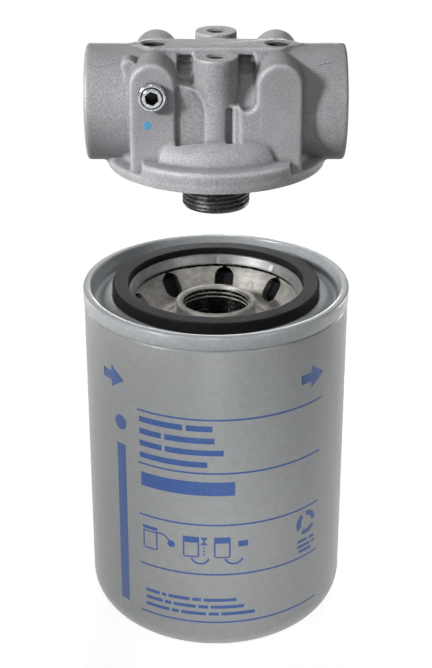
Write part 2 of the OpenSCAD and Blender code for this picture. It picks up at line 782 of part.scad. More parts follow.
head_casting();
threaded_nipple();
indicator_plug();
plug_seal();
bypass_seat();
bypass_cage();
bypass_circlip();
bypass_spring();
bypass_poppet();
can_shell();
seaming_lid();
lid_gasket();
base_plate();
element_seal();
drain_flap();
upper_end_cap();
centre_tube();
pleated_media();
pleat_clip();
lower_end_cap();
support_spring();
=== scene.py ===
# %% [markdown]
# # A spin-on hydraulic filter, head above canister
#
# The real filter is a cast head that stays on the machine and a canister that screws onto it.
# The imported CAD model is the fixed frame, in metres: the origin is the centre of the flat
# mounting face, +Z is up and the ports run along X. Every piece that is made here sits where
# the CAD says and rides on one of its three bodies: head, poppet and canister.

# %% The frame
import bpy, bmesh, math
import numpy as np
from mathutils import Matrix, Vector


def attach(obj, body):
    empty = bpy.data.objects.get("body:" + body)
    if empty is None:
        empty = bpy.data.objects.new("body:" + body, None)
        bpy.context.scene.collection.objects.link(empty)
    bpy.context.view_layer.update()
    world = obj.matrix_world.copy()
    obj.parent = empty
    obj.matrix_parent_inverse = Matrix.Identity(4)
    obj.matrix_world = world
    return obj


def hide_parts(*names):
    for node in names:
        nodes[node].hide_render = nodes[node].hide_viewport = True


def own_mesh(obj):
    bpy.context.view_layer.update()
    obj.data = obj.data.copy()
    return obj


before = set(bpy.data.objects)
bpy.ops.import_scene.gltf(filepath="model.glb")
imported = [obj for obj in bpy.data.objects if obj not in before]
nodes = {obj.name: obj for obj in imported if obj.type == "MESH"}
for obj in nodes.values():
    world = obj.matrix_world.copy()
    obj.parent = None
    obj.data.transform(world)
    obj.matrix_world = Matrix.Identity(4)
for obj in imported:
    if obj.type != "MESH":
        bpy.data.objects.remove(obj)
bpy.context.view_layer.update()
MM = 0.001

# %% [markdown]
# The sizes that the pieces below share, in millimetres, are the CAD's own. Levels are measured
# from the mounting face. The rim is the top of the canister. They could be measured on the CAD
# meshes, but named values let each profile below be read like a drawing.

# %% Shared sizes
AXIS_Z = -27.1                     # port axis
SEAL_Z = -54.1                     # sealing face of the head
RIM_Z = -116.7                     # rim of the canister
TUBE_END, PORT_R, PORT_DEPTH, GALLERY_R = 58.8, 19.5, 19.0, 14.5
MOUNT_X, MOUNT_R = 27.9, 5.1       # mounting holes
COLUMN_Y, COLUMN_HOLE_R = 22.8, 3.4
PAD_FACE = 32.0                    # distance of the pad faces from the middle plane
PLUG = (-MOUNT_X, -PAD_FACE, AXIS_Z + 12)
CHAMBER_R, CHAMBER_ROOF = 38.0, AXIS_Z - 20.5
NIPPLE_R, NIPPLE_BORE_R, PITCH = 15.87, 11.5, 25.4 / 12
NIPPLE_TOP, NIPPLE_END = SEAL_Z + 11, SEAL_Z - 22.4
CAN_R, CAN_H, SEAM_R = 63.6, 175.0, 64.0
GASKET_IN, GASKET_OUT = 42.1, 49.9
BYPASS_X = 28.0
print("rim to bottom", CAN_H, "thread pitch", round(PITCH, 3))

# %% [markdown]
# ## Camera
#
# A product photo is taken from a little above. The camera could be placed by eye, but here its
# place, tilt and lens were fitted to the canister's rim, sides and bottom corner, so that the
# outline falls on the photo's. Standard view transform shows each colour as it is set.

# %% Camera
CAMERA_PLACE, CAMERA_TILT, LENS = (0, -0.6873, 0.17765), 25.134, 83.47
scene = bpy.context.scene
scene.view_settings.view_transform = "Standard"



def placed(name, data):
    """A new object in the scene."""
    made = bpy.data.objects.new(name, data)
    scene.collection.objects.link(made)
    return made


camera = placed("camera", bpy.data.cameras.new("camera"))
camera.location = CAMERA_PLACE
camera.rotation_euler = (math.radians(90 - CAMERA_TILT), 0, 0)
camera.data.sensor_width = 36
camera.data.lens = LENS
scene.camera = camera
print("camera looks down by", CAMERA_TILT, "degrees")

# %% [markdown]
# ## The room
#
# A studio's walls are white and far away. One plain white world would be simpler, but it would
# flood the casting with light and wash out its edges. So the light path chooses: the camera sees
# pure white, reflections see a soft grey, and everything else gets only a little light.

# %% World
AMBIENT, SHEEN = 0.04, 0.35
world = bpy.data.worlds.new("studio")
scene.world = world
world.use_nodes = True
tree = world.node_tree
tree.nodes.clear()


def background(tree, colour, strength):
    """One plain light for the world to choose from."""
    made = tree.nodes.new("ShaderNodeBackground")
    made.inputs["Color"].default_value = colour
    made.inputs["Strength"].default_value = strength
    return made.outputs[0]


white = background(tree, (1, 1, 1, 1), 1)
room = background(tree, (0.97, 0.98, 1, 1), AMBIENT)
sheen = background(tree, (1, 1, 1, 1), SHEEN)
rays = tree.nodes.new("ShaderNodeLightPath")
glossy = tree.nodes.new("ShaderNodeMixShader")
mixed = tree.nodes.new("ShaderNodeMixShader")
result = tree.nodes.new("ShaderNodeOutputWorld")
tree.links.new(rays.outputs["Is Glossy Ray"], glossy.inputs["Fac"])
tree.links.new(room, glossy.inputs[1])
tree.links.new(sheen, glossy.inputs[2])
tree.links.new(rays.outputs["Is Camera Ray"], mixed.inputs["Fac"])
tree.links.new(glossy.outputs[0], mixed.inputs[1])
tree.links.new(white, mixed.inputs[2])
tree.links.new(mixed.outputs[0], result.inputs["Surface"])
print("world", len(tree.nodes), "nodes")

# %% [markdown]
# ## Lamps
#
# Soft boxes light the filter, each narrowed to one job by its spread. The key lamp at the left
# draws the casting's edges and leaves the tube's right end in shade. Three lamps reach down into
# the lid, past the head that hangs above it. Two fill the fronts, one puts the glint on the
# nipple, and the walls, the back and the overhead box light the views from the sides and behind.
# Levels are set as the brightness of white paper, because watts would change with each distance.

# %% Lamps
def lamp(name, place, aim, width, height, level, spread=180):
    """A soft box turned towards aim. White paper there, facing it, would look that level bright."""
    light = bpy.data.lights.new(name, "AREA")
    light.shape, light.size, light.size_y = "RECTANGLE", width, height
    distance = (Vector(aim) - Vector(place)).length
    half = math.radians(spread) / 2
    share = math.sin(half) ** 2 - (half - math.sin(2 * half) / 2) / math.tan(half)
    light.energy, light.spread = level * (math.pi * distance) ** 2 * share, 2 * half
    box = placed(name, light)
    box.location = place
    box.rotation_euler = (Vector(aim) - Vector(place)).to_track_quat("-Z", "Y").to_euler()
    return box


lamp("key", (-0.76, -0.56, 0.38), (0, 0, -0.03), 0.22, 0.22, 2.75, spread=17)
lamp("lid_right", (0.45, -0.50, 0.27), (-0.01, -0.01, -0.13), 0.15, 0.15, 0.75, spread=11)
lamp("lid_top", (-0.03, -0.38, 0.42), (0, -0.02, -0.13), 0.12, 0.12, 0.45, spread=12)
lamp("lid_back", (0.0, 0.40, 0.46), (0, 0.02, -0.13), 0.12, 0.12, 1.25, spread=11)
lamp("head_fill", (0.0, -0.95, 0.10), (0, 0, -0.03), 0.2, 0.2, 0.08, spread=14)
lamp("can_front", (0.0, -1.1, -0.215), (0, 0, -0.245), 0.12, 0.12, 1.05, spread=15)
lamp("nipple_glint", (-0.33, -0.36, -0.23), (0, 0, -0.068), 0.05, 0.05, 1.8, spread=6)
lamp("left_wall", (-0.60, 0.40, -0.16), (0, 0, -0.16), 0.2, 0.2, 0.22, spread=40)
lamp("right_wall", (0.60, 0.40, -0.16), (0, 0, -0.16), 0.2, 0.2, 0.36, spread=40)
lamp("back_wall", (0.0, 1.1, -0.08), (0, 0, -0.14), 0.3, 0.3, 0.6, spread=28)
lamp("back", (0.0, 0.90, 0.30), (0, 0, -0.12), 1.1, 0.25, 0.06, spread=70)
lamp("overhead", (0.0, -0.20, 0.75), (0, 0, -0.10), 0.5, 0.4, 0.06, spread=120)

# %% [markdown]
# ## Tools that finish a piece
#
# Every piece ends in the same way: its faces are smoothed apart from the sharp edges, it gets a
# material, and it is tied to the body that moves it. A modifier could keep the edges sharp, but
# marking them in the mesh gives the same look everywhere the mesh is used.

# %% Finishing tools
def shade(mesh, sharp=35):
    """Smooth shading, apart from edges that turn by more than sharp degrees."""
    bm = bmesh.new()
    bm.from_mesh(mesh)
    bmesh.ops.remove_doubles(bm, verts=bm.verts, dist=2e-6)
    bmesh.ops.recalc_face_normals(bm, faces=bm.faces)
    limit = math.radians(sharp)
    for face in bm.faces:
        face.smooth = True
    for edge in bm.edges:
        edge.smooth = edge.calc_face_angle(0) < limit
    bm.to_mesh(mesh)
    bm.free()


def finish_piece(name, mesh, material, body, stands_for=()):
    """Links a finished mesh, gives it its material and ties it to a body."""
    made = placed(name, mesh)
    if not mesh.materials:
        mesh.materials.append(material)
    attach(made, body)
    if stands_for:
        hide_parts(*stands_for)
    return made


def piece(name, points, faces, material, body, stands_for=(), sharp=35):
    """A new piece from points in millimetres."""
    mesh = bpy.data.meshes.new(name)
    mesh.from_pydata((np.asarray(points, float) * MM).tolist(), [], np.asarray(faces).tolist())
    shade(mesh, sharp)
    return finish_piece(name, mesh, material, body, stands_for)


print("sharp edges are kept above 35 degrees")

# %% [markdown]
# Most of the filter is round: pressed, turned or moulded about one axis. Such a piece is one
# closed profile, turned. Blender's Screw modifier could turn it, but plain arrays let the radius
# change with the turn, which the threads and the crimps need.

# %% Turned shapes
def turned(profile, sides=256, move=None):
    """Points and faces of a closed (r, z) profile turned about Z. move may shift the points."""
    r, z = np.array(profile, float).T
    turn = np.linspace(0, 2 * math.pi, sides, endpoint=False)[:, None]
    r, z = r + 0 * turn, z + 0 * turn
    if move:
        r, z = move(r, z, turn)
    points = np.stack([r * np.cos(turn), r * np.sin(turn), z], -1).reshape(-1, 3)
    count = len(profile)
    i, j = np.meshgrid(np.arange(sides), np.arange(count), indexing="ij")
    i2, j2 = (i + 1) % sides, (j + 1) % count
    faces = np.stack([i * count + j, i2 * count + j, i2 * count + j2, i * count + j2], -1)
    return points, faces.reshape(-1, 4)


def arc(r, z, radius, start, stop, steps=8):
    """Points on an arc of a profile, from start to stop degrees."""
    turns = np.radians(np.linspace(start, stop, steps + 1))
    return [(r + radius * math.cos(t), z + radius * math.sin(t)) for t in turns]


print("a ring of four points has", len(turned([(9, 0), (10, 0), (10, 1), (9, 1)])[1]), "faces")

# %% [markdown]
# ## Materials
#
# Nothing real is one flat colour. Each finish here is a noise pattern that varies the colour, the
# roughness and the bump together. Image textures could do this too, but noise has no seams and
# stays sharp at any distance.

# %% Patterns
def noise(tree, scale, detail=2, stretch=(1, 1, 1)):
    """A noise pattern fixed to the piece; scale is in cycles per metre."""
    where = tree.nodes.new("ShaderNodeTexCoord")
    spread = tree.nodes.new("ShaderNodeMapping")
    spread.inputs["Scale"].default_value = stretch
    pattern = tree.nodes.new("ShaderNodeTexNoise")
    pattern.inputs["Scale"].default_value = scale
    pattern.inputs["Detail"].default_value = detail
    tree.links.new(where.outputs["Object"], spread.inputs["Vector"])
    tree.links.new(spread.outputs["Vector"], pattern.inputs["Vector"])
    return pattern.outputs["Fac"]


def ramp(tree, source, low, high, a=0.35, b=0.65):
    """Two colours over the middle part of a pattern."""
    colours = tree.nodes.new("ShaderNodeValToRGB")
    colours.color_ramp.elements[0].position = a
    colours.color_ramp.elements[1].position = b
    colours.color_ramp.elements[0].color = (*low, 1)
    colours.color_ramp.elements[1].color = (*high, 1)
    tree.links.new(source, colours.inputs["Fac"])
    return colours.outputs["Color"]


def spread_value(tree, source, low, high):
    """A pattern as a number from low to high."""
    span = tree.nodes.new("ShaderNodeMapRange")
    span.inputs["From Min"].default_value = 0.3
    span.inputs["From Max"].default_value = 0.7
    span.inputs["To Min"].default_value = low
    span.inputs["To Max"].default_value = high
    tree.links.new(source, span.inputs["Value"])
    return span.outputs["Result"]


def srgb(*values):
    """Linear colour of an sRGB colour given as 0 to 255."""
    return tuple(((v / 255 + 0.055) / 1.055) ** 2.4 if v > 10 else v / 3295 for v in values)


print("middle grey is", round(srgb(128)[0], 3), "in linear light")

# %% [markdown]
# One builder wires the patterns into a shader, so that a finish is a few lines that say what the
# surface is like. Its edges value paints a highlight on outer edges and shade into inner corners:
# the casting's ridges look lit and its corners look shaded.

# %% Material builder
def shaded(tree, colour, pattern, levels, span):
    """A colour made darker and lighter, between two levels, over a span of a pattern."""
    product = tree.nodes.new("ShaderNodeMix")
    product.data_type, product.blend_type = "RGBA", "MULTIPLY"
    product.inputs["Factor"].default_value = 1
    tree.links.new(colour, product.inputs["A"])
    tones = ramp(tree, pattern, (levels[0],) * 3, (levels[1],) * 3, *span)
    tree.links.new(tones, product.inputs["B"])
    return product.outputs["Result"]


def surface(name, low, high, metallic, rough, grain, height=0.0, coat=0.0, blotch=0,
            bump_scale=None, stretch=(1, 1, 1), specular=0.5, edges=None):
    """A material: two colours over a grain, a roughness range and a bump of that height in mm.
    edges gives how dark the painted shade in inner corners and how light the painted highlight on
    outer edges are."""
    made = bpy.data.materials.new(name)
    made.use_nodes = True
    tree = made.node_tree
    shader = tree.nodes["Principled BSDF"]
    shader.inputs["Metallic"].default_value = metallic
    shader.inputs["Coat Weight"].default_value = coat
    shader.inputs["Coat Roughness"].default_value = 0.12
    shader.inputs["Specular IOR Level"].default_value = specular
    fine = noise(tree, grain, 3, stretch)
    colour = ramp(tree, fine, low, high)
    if blotch:
        colour = shaded(tree, colour, noise(tree, blotch, 3), (0.86, 1.06), (0.3, 0.7))
    # edges paints a highlight on outer edges and shade into inner corners, from the mesh's
    # pointiness
    if edges:
        shape = tree.nodes.new("ShaderNodeNewGeometry")
        colour = shaded(tree, colour, shape.outputs["Pointiness"], edges, (0.46, 0.54))
    tree.links.new(colour, shader.inputs["Base Color"])
    tree.links.new(spread_value(tree, fine, *rough), shader.inputs["Roughness"])
    if height:
        bump = tree.nodes.new("ShaderNodeBump")
        bump.inputs["Strength"].default_value = 1
        bump.inputs["Distance"].default_value = height * MM
        tree.links.new(noise(tree, bump_scale or grain, 4, stretch), bump.inputs["Height"])
        tree.links.new(bump.outputs["Normal"], shader.inputs["Normal"])
    return made


print("material builder ready")

# %% [markdown]
# ## Tools that cut
#
# The head is made as the foundry and the machine shop make it, so it needs cutters: cylinders,
# boxes and pushed outlines, all taken away with a boolean. Modelling each hole by hand would give
# cleaner faces, but the cuts stay where the CAD has them and are quick to change.

# %% Cutting tools
UP = Matrix.Identity(4)
TO_FRONT = Matrix.Rotation(math.radians(90), 4, "X")      # +Z of a shape turns to -Y
TO_BACK = Matrix.Rotation(math.radians(-90), 4, "X")
TO_RIGHT = Matrix.Rotation(math.radians(90), 4, "Y")      # +Z of a shape turns to +X
TO_LEFT = Matrix.Rotation(math.radians(-90), 4, "Y")


def at(x, y, z, turn=UP):
    """A place in mm, with a turn."""
    return Matrix.Translation((x, y, z)) @ turn


def to_metres(bm):
    """Scales a cutter drawn in mm."""
    bmesh.ops.scale(bm, vec=(MM, MM, MM), verts=bm.verts)


def cylinders(stack):
    """One bmesh of cylinders: each is (matrix, lower radius, upper radius, height), in mm."""
    bm = bmesh.new()
    for matrix, r1, r2, height in stack:
        bmesh.ops.create_cone(bm, cap_ends=True, segments=96, radius1=r1, radius2=r2,
                              depth=height, matrix=matrix @ at(0, 0, height / 2))
    to_metres(bm)
    return bm


def slab(low, high):
    """A box between two corners, in mm."""
    bm = bmesh.new()
    size = [high[i] - low[i] for i in range(3)]
    middle = [(high[i] + low[i]) / 2 for i in range(3)]
    bmesh.ops.create_cube(bm, size=1, matrix=at(*middle) @ Matrix.Diagonal((*size, 1)))
    to_metres(bm)
    return bm


def prism(line, move):
    """A closed line of points in mm, pushed along move, as a solid."""
    bm = bmesh.new()
    ends = [[bm.verts.new(Vector(p) + k * Vector(move)) for p in line] for k in (0, 1)]
    bm.faces.new(ends[0])
    bm.faces.new(ends[1][::-1])
    for k in range(len(line)):
        m = (k + 1) % len(line)
        bm.faces.new((ends[0][k], ends[1][k], ends[1][m], ends[0][m]))
    bmesh.ops.recalc_face_normals(bm, faces=bm.faces)
    to_metres(bm)
    return bm


def bake(target):
    """Replaces the target's mesh by what its modifiers make of it."""
    graph = bpy.context.evaluated_depsgraph_get()
    mesh = bpy.data.meshes.new_from_object(target.evaluated_get(graph))
    target.modifiers.clear()
    old, target.data = target.data, mesh
    bpy.data.meshes.remove(old)


def carve(target, cutter_bm, solver="MANIFOLD"):
    """Takes the cutter's volume away from the target, for good."""
    mesh = bpy.data.meshes.new("cutter")
    cutter_bm.to_mesh(mesh)
    cutter_bm.free()
    cutter = placed("cutter", mesh)
    change = target.modifiers.new("carve", "BOOLEAN")
    change.operation, change.object, change.solver = "DIFFERENCE", cutter, solver
    bake(target)
    bpy.data.objects.remove(cutter)


print("cutters ready")

# %% [markdown]
# ## The cast head
#
# The real head is sand-cast aluminium: every edge is round and every inner corner is filled. The
# casting starts from the CAD solid. Bevels on its edges would break where so many shapes meet, so
# the solid is turned into small even cells and relaxed instead, which rounds everything at once.
# First, the core's pockets under the mounting strip and the recessed panel beside the front
# column are cut, with the narrow groove that the photo shows at the column's right.

# %% Pockets, panel and groove
WALL_R = 20.6                      # outside of the metal that is left round the gallery
STRIP_Y, STRIP_UNDER = 8.65, -3.4  # edge and underside of the mounting strip
OUTSIDE = 34                       # just past the pads' faces, in Y
# Pockets from x0 to x1, as deep as floor, at the back (1) or the front (-1).
POCKETS = ((-17.6, -10.1, -9.4, 1), (10.1, 17.4, -19, 1),
           (-17.4, -10.1, -9.4, -1), (10.1, 17.4, -9.4, -1))


def pocket(x0, x1, floor, side):
    """What the core left out under the strip between a column and a pad, as a prism."""
    heights = np.linspace(floor, -7.2, 10)
    line = [(OUTSIDE, floor)] + [(math.sqrt(WALL_R ** 2 - (z - AXIS_Z) ** 2), z) for z in heights]
    line += [(line[-1][0], STRIP_UNDER), (STRIP_Y, STRIP_UNDER), (STRIP_Y, 2), (OUTSIDE, 2)]
    return prism([(x0, side * y, z) for y, z in line], (x1 - x0, 0, 0))


mesh = bpy.data.meshes.new("head_cast")
bm = bmesh.new()
bm.from_mesh(nodes["head_casting"].data)
bmesh.ops.remove_doubles(bm, verts=bm.verts, dist=1e-6)
bm.to_mesh(mesh)
bm.free()
head = placed("head_cast", mesh)
for place in POCKETS:
    carve(head, pocket(*place))
panel = [(-17.8, -46), (-5.0, -46), (-5.0, -22), (-6.3, -17.8), (-8.8, -14.4),
         (-12.4, -11.8), (-17.8, -9.2)]
carve(head, prism([(x, -OUTSIDE, z) for x, z in panel], (0, 4.4, 0)))
for x0, x1, depth_y in ((4.4, 7.6, -28.8), (7.5, 10.6, -31.0)):
    carve(head, slab((x0, -OUTSIDE, -46), (x1, depth_y, -21)))
print("head with pockets", len(head.data.polygons), "faces")

# %% [markdown]
# A casting leaves the foundry with its bores closed and a little spare metal on each face that
# will be machined. The same is done here: short cylinders fill the holes and thicken the faces, so
# that the relaxing can't round an edge that a tool will later cut crisp. The small gusset at the
# left pad is four short rods of falling size, which the relaxing melts into one web.

# %% The cast blank
def filler():
    """Metal that fills the bores, lies on faces to be machined, and makes the small gusset."""
    wide_mount, wide_column, length = MOUNT_R + 1.5, COLUMN_HOLE_R + 1.5, 24
    stock = [(at(x, 0, -12), wide_mount, wide_mount, 12.7) for x in (-MOUNT_X, MOUNT_X)]
    for y in (-COLUMN_Y, COLUMN_Y):
        stock += [(at(0, y, -16), wide_column, wide_column, 16.7), (at(0, y, -3), 9.5, 9.5, 3.7)]
    stock += [(at(0, 0, SEAL_Z - 0.8), 50.3, 50.3, 3.3), (at(0, 0, SEAL_Z), 38.4, 38.4, 7)]
    stock += [(at(x, 0, AXIS_Z, TO_RIGHT), 21.6, 21.6, length)
              for x in (-TUBE_END, TUBE_END - length)]
    stock += [(at(length - TUBE_END, 0, AXIS_Z, TO_RIGHT), 16, 16, 2 * (TUBE_END - length))]
    stock += [(at(*PLUG, TO_BACK), 6, 6, 12)]
    gusset = ((-38.7, -5.0, 3.3), (-38.5, -8.0, 2.7), (-38.2, -11, 2.0), (-38.0, -13.5, 1.3))
    stock += [(at(x, -12, z, TO_FRONT), r, r, 10) for x, z, r in gusset]
    return cylinders(stock)


bm = filler()
bm.from_mesh(head.data)
bm.to_mesh(head.data)
bm.free()
cells = head.modifiers.new("cells", "REMESH")
cells.mode, cells.voxel_size = "VOXEL", 0.74 * MM
relax = head.modifiers.new("relax", "SMOOTH")
relax.factor, relax.iterations = 0.5, 4
bake(head)
print("cast blank", len(head.data.polygons), "cells")

# %% [markdown]
# The machining comes after the casting, so its edges are crisp. Each tool's path is a turned
# profile that starts and ends on its own axis. A plain cylinder could stand in for a drill, but a
# profile carries the cone at the end and the chamfer at the mouth in one cut.

# %% Boring tools
def bore(profile, matrix, sides=128):
    """A solid turned from a profile that starts and ends on the axis."""
    points, faces = turned([(max(r, 1e-4), z) for r, z in profile], sides)
    bm = bmesh.new()
    made = [bm.verts.new(p) for p in points]
    for f in faces:
        bm.faces.new([made[k] for k in f])
    bmesh.ops.remove_doubles(bm, verts=bm.verts, dist=1e-3)
    bmesh.ops.transform(bm, matrix=matrix, verts=bm.verts)
    to_metres(bm)
    bmesh.ops.recalc_face_normals(bm, faces=bm.faces)
    return bm


def hole(r, depth, flare=1.0):
    """Profile of a tapped hole: a cone-ended bore with a chamfered mouth at height 0."""
    return [(0, -depth - r * 0.6), (r, -depth), (r, -flare), (r + flare, 0),
            (r + flare + 2, 2), (0, 2)]


print("a tapped hole's profile has", len(hole(MOUNT_R, 10)), "points")

# %% [markdown]
# These are the cuts of the machine shop: the flat top, the sealing face, both ports with their
# galleries, the ring-shaped chamber, the way to the bypass valve with its stepped pocket, the
# nipple's bore, and the tapped holes.

# %% Machining
PORT_BACK_R, PORT_FLARE_R = 20.4, 21.6       # behind the threaded lining, and at the mouth
VALVE_SEAT_R, VALVE_BORE_R = 8.9, 7.45
mouth = [(GALLERY_R, -PORT_DEPTH), (PORT_BACK_R, -PORT_DEPTH), (PORT_BACK_R, -1.4),
         (PORT_FLARE_R, 0), (24, 2), (0, 2)]
inlet = [(0, 18 - TUBE_END), (GALLERY_R, 18 - TUBE_END)] + mouth
outlet = [(0, -TUBE_END - 13), (GALLERY_R, -TUBE_END - 13)] + mouth
chamber = [(19, CHAMBER_ROOF), (19, SEAL_Z + 2), (0.1, SEAL_Z + 2), (0.1, SEAL_Z - 3),
           (CHAMBER_R, SEAL_Z - 3), (CHAMBER_R, CHAMBER_ROOF)]
valve_bore = [(0, CHAMBER_ROOF - 1), (VALVE_SEAT_R, CHAMBER_ROOF - 1),
              (VALVE_SEAT_R, CHAMBER_ROOF + 3.6), (VALVE_BORE_R, CHAMBER_ROOF + 3.6),
              (VALVE_BORE_R, AXIS_Z), (0, AXIS_Z)]
carve(head, slab((-70, -70, 0), (70, 70, 5)))
carve(head, slab((-70, -70, -60), (70, 70, SEAL_Z)))
carve(head, bore(outlet, at(TUBE_END, 0, AXIS_Z, TO_RIGHT)))
carve(head, bore(inlet, at(-TUBE_END, 0, AXIS_Z, TO_LEFT)))
carve(head, bore(chamber, UP))
carve(head, slab((-35, -8.7, CHAMBER_ROOF - 1), (-21, 8.7, AXIS_Z)))
carve(head, bore(valve_bore, at(BYPASS_X, 0, 0)))
for r, low, high in ((NIPPLE_R + 0.02, -60, NIPPLE_TOP), (NIPPLE_BORE_R, -50, AXIS_Z)):
    carve(head, bore([(0, low), (r, low), (r, high), (0, high)], UP))
for x in (-MOUNT_X, MOUNT_X):
    carve(head, bore(hole(MOUNT_R, 10), at(x, 0, 0), 64))
for y in (-COLUMN_Y, COLUMN_Y):
    carve(head, bore(hole(COLUMN_HOLE_R, 14), at(0, y, 0), 64))
carve(head, bore([(0, -10), (4.35, -10), (4.35, 3), (0, 3)], at(*PLUG, TO_FRONT), 64))
print("head after machining", len(head.data.polygons), "faces")

# %% [markdown]
# The head has three finishes: the shot-blasted skin, faces that a tool has cut, and the walls of
# the tapped holes, which are painted dark as the shade deep inside the holes. The faces could be
# picked by hand. Here each face's place decides, so the choice survives any change to the mesh.

# %% The head's finishes
# the casting's edges value paints a highlight on its ridges and shade in its corners
CAST = surface("cast_aluminium", srgb(146, 145, 148), srgb(178, 177, 180), 0.12, (0.45, 0.62),
               1500, height=0.075, blotch=60, bump_scale=1100, specular=0.25, edges=(0.6, 1.4))
MACHINED = surface("machined_aluminium", srgb(132, 132, 134), srgb(166, 166, 168), 0.4, (0.35, 0.5),
                   500, height=0.01, stretch=(1, 1, 12))
# painted shade: the tapped holes' walls are made dark where shade falls inside them
TAPPED_SHADE = surface("tapped_hole", srgb(48, 48, 50), srgb(78, 78, 80), 0.3, (0.4, 0.55),
                 900, height=0.02)


def paint_machined(obj):
    """Gives the machined finish to cut faces, and a darker one, painted shade, to the tapped holes.
    """
    mesh = obj.data
    mesh.materials.clear()
    for material in (CAST, MACHINED, TAPPED_SHADE):
        mesh.materials.append(material)
    count = len(mesh.polygons)
    centres = np.zeros(count * 3)
    mesh.polygons.foreach_get("center", centres)
    x, y, z = centres.reshape(-1, 3).T / MM
    cut = (z > -0.01) | (z < SEAL_Z + 0.01)
    cut |= (abs(x) > TUBE_END - PORT_DEPTH - 0.1) & (np.hypot(y, z - AXIS_Z) < PORT_FLARE_R + 0.1)
    tapped = np.zeros(count, bool)
    for hole_x, hole_y, r, low in ((-MOUNT_X, 0, MOUNT_R, -14), (MOUNT_X, 0, MOUNT_R, -14),
                                   (0, -COLUMN_Y, COLUMN_HOLE_R, -17),
                                   (0, COLUMN_Y, COLUMN_HOLE_R, -17)):
        reach = np.hypot(x - hole_x, y - hole_y)
        cut |= (reach < r + 1.05) & (z > low)
        # the tapped holes' walls get the painted shade
        tapped |= (reach < r + 0.02) & (z > low) & (z < -0.8)
    mesh.polygons.foreach_set("material_index", cut.astype(np.int32) + (cut & tapped))


shade(head.data, 32)
paint_machined(head)
finished = head.data
bpy.data.objects.remove(head)
head = finish_piece("head_cast", finished, CAST, "head", ["head_casting"])
print("head triangles", sum(len(p.vertices) - 2 for p in head.data.polygons))

# %% [markdown]
# ## The nipple
#
# The canister screws onto this short steel pipe. A picture of a thread could be painted on, but it
# would end in a straight edge, so the thread is a real helix: the surface is a fine grid whose
# radius falls into the groove and rises to the crest once per pitch.

# %% Thread and nipple
NIPPLE = surface("nipple_steel", srgb(70, 69, 70), srgb(118, 117, 116), 0.9, (0.26, 0.42),
                 900, height=0.03, blotch=150)


def thread_depth(z, turn, depth):
    """Depth of a V-shaped thread below its crest, at a height and a turn."""
    phase = (z / PITCH - turn / (2 * math.pi)) % 1
    groove = 1 - abs(2 * phase - 1)
    return depth * np.clip(groove * 1.25 - 0.12, 0, 1)


def nipple_profile():
    """The pipe's wall: outside, rounded nose, chamfered bore."""
    top, end, edge = NIPPLE_TOP, NIPPLE_END, 1.4
    outside = [(NIPPLE_R, z) for z in np.arange(top, end + edge, -0.17)]
    nose = arc(NIPPLE_R - edge, end + edge, edge, 0, -90, 6)
    inside = [(NIPPLE_BORE_R + 0.6, end), (NIPPLE_BORE_R, end + 0.6), (NIPPLE_BORE_R, top)]
    return outside + nose + inside


def nipple_thread(r, z, turn):
    """Cuts the groove, which fades out at both ends."""
    fade = np.clip((z - NIPPLE_END) / 2.5, 0, 1) * np.clip((SEAL_Z + 2 - z) / 3, 0, 1)
    return np.where(r > NIPPLE_R - 2, r - fade * thread_depth(z, turn, 1.2), r), z


points, faces = turned(nipple_profile(), 160, nipple_thread)
nipple = piece("nipple", points, faces, NIPPLE, "head",
               ["threaded_nipple"], sharp=60)
print("nipple faces", len(nipple.data.polygons))

# %% [markdown]
# The ports are threaded too. Cutting a helix into the casting would need very small cells, so
# each port gets a thin threaded lining of its own, like an insert, that rides with the head.

# %% Port threads
def carried(points, place):
    """Points moved by a matrix."""
    return (np.c_[points, np.ones(len(points))] @ np.array(place).T)[:, :3]


def port_thread(name, side):
    """A threaded lining for one port, cut from just inside the mouth to the bore's end."""
    start, end, step = -1.5, 1.0 - PORT_DEPTH, 0.24
    back_r = PORT_BACK_R + 0.05
    cut = [(PORT_R, z) for z in np.arange(start, end, -step)]
    points, faces = turned(
        cut + [(back_r, end), (back_r, start)], 144,
        lambda r, z, turn: (np.where(r < 20, r + thread_depth(z, turn, 0.85), r), z))
    place = at(side * TUBE_END, 0, AXIS_Z, TO_RIGHT if side > 0 else TO_LEFT)
    return piece(name, carried(points, place), faces, MACHINED, "head", sharp=60)


linings = [port_thread("port_thread_left", -1), port_thread("port_thread_right", 1)]
print("port threads", [len(o.data.polygons) for o in linings])

# %% [markdown]
# ## The plug in the indicator port
#
# The plug closes the port where a clogging indicator can be fitted. It is a plated screw with a
# bright collar, a groove inside it and a hexagon socket. The screw is one turned profile, and
# the socket is cut with a six-sided cone. The groove and the socket are picked by place and get
# a near-black finish: painted shade.

# %% Socket plug
PLATED = surface("plated_steel", srgb(176, 180, 186), srgb(214, 216, 220), 1, (0.12, 0.28),
                 700, height=0.01)
# painted shade: this near-black steel is laid on sockets, grooves and undersides where shade falls
PAINTED_SHADE = surface("painted_shade_steel", srgb(20, 19, 19), srgb(40, 38, 37), 0.8, (0.2, 0.36),
                700, height=0.02)


def plug_profile():
    """Shank, collar, groove and the rounded head, from the axis and back to it."""
    return [(0, -9), (3.5, -9), (4.3, -8.2), (4.3, 1.0)] + arc(5.8, 1.4, 0.4, -90, 0, 3) \
        + arc(5.4, 3.4, 0.8, 0, 90, 6) + arc(5.1, 4.0, 0.2, 90, 180, 3) \
        + [(4.75, 2.6), (4.45, 2.6)] + arc(3.95, 4.3, 0.5, 0, 90, 5) + [(0, 4.8)]


body = bore(plug_profile(), at(*PLUG, TO_FRONT), 96)
mesh = bpy.data.meshes.new("socket_plug")
body.to_mesh(mesh)
body.free()
plug = finish_piece("socket_plug", mesh, PLATED, "head", ["indicator_plug"])
socket = bmesh.new()
bmesh.ops.create_cone(socket, cap_ends=True, segments=6, radius1=3.1, radius2=3.25, depth=6,
                      matrix=at(*PLUG, TO_FRONT)
                      @ at(0, 0, 2.6, Matrix.Rotation(math.radians(10), 4, "Z")))
to_metres(socket)
carve(plug, socket, "EXACT")
shade(plug.data, 30)


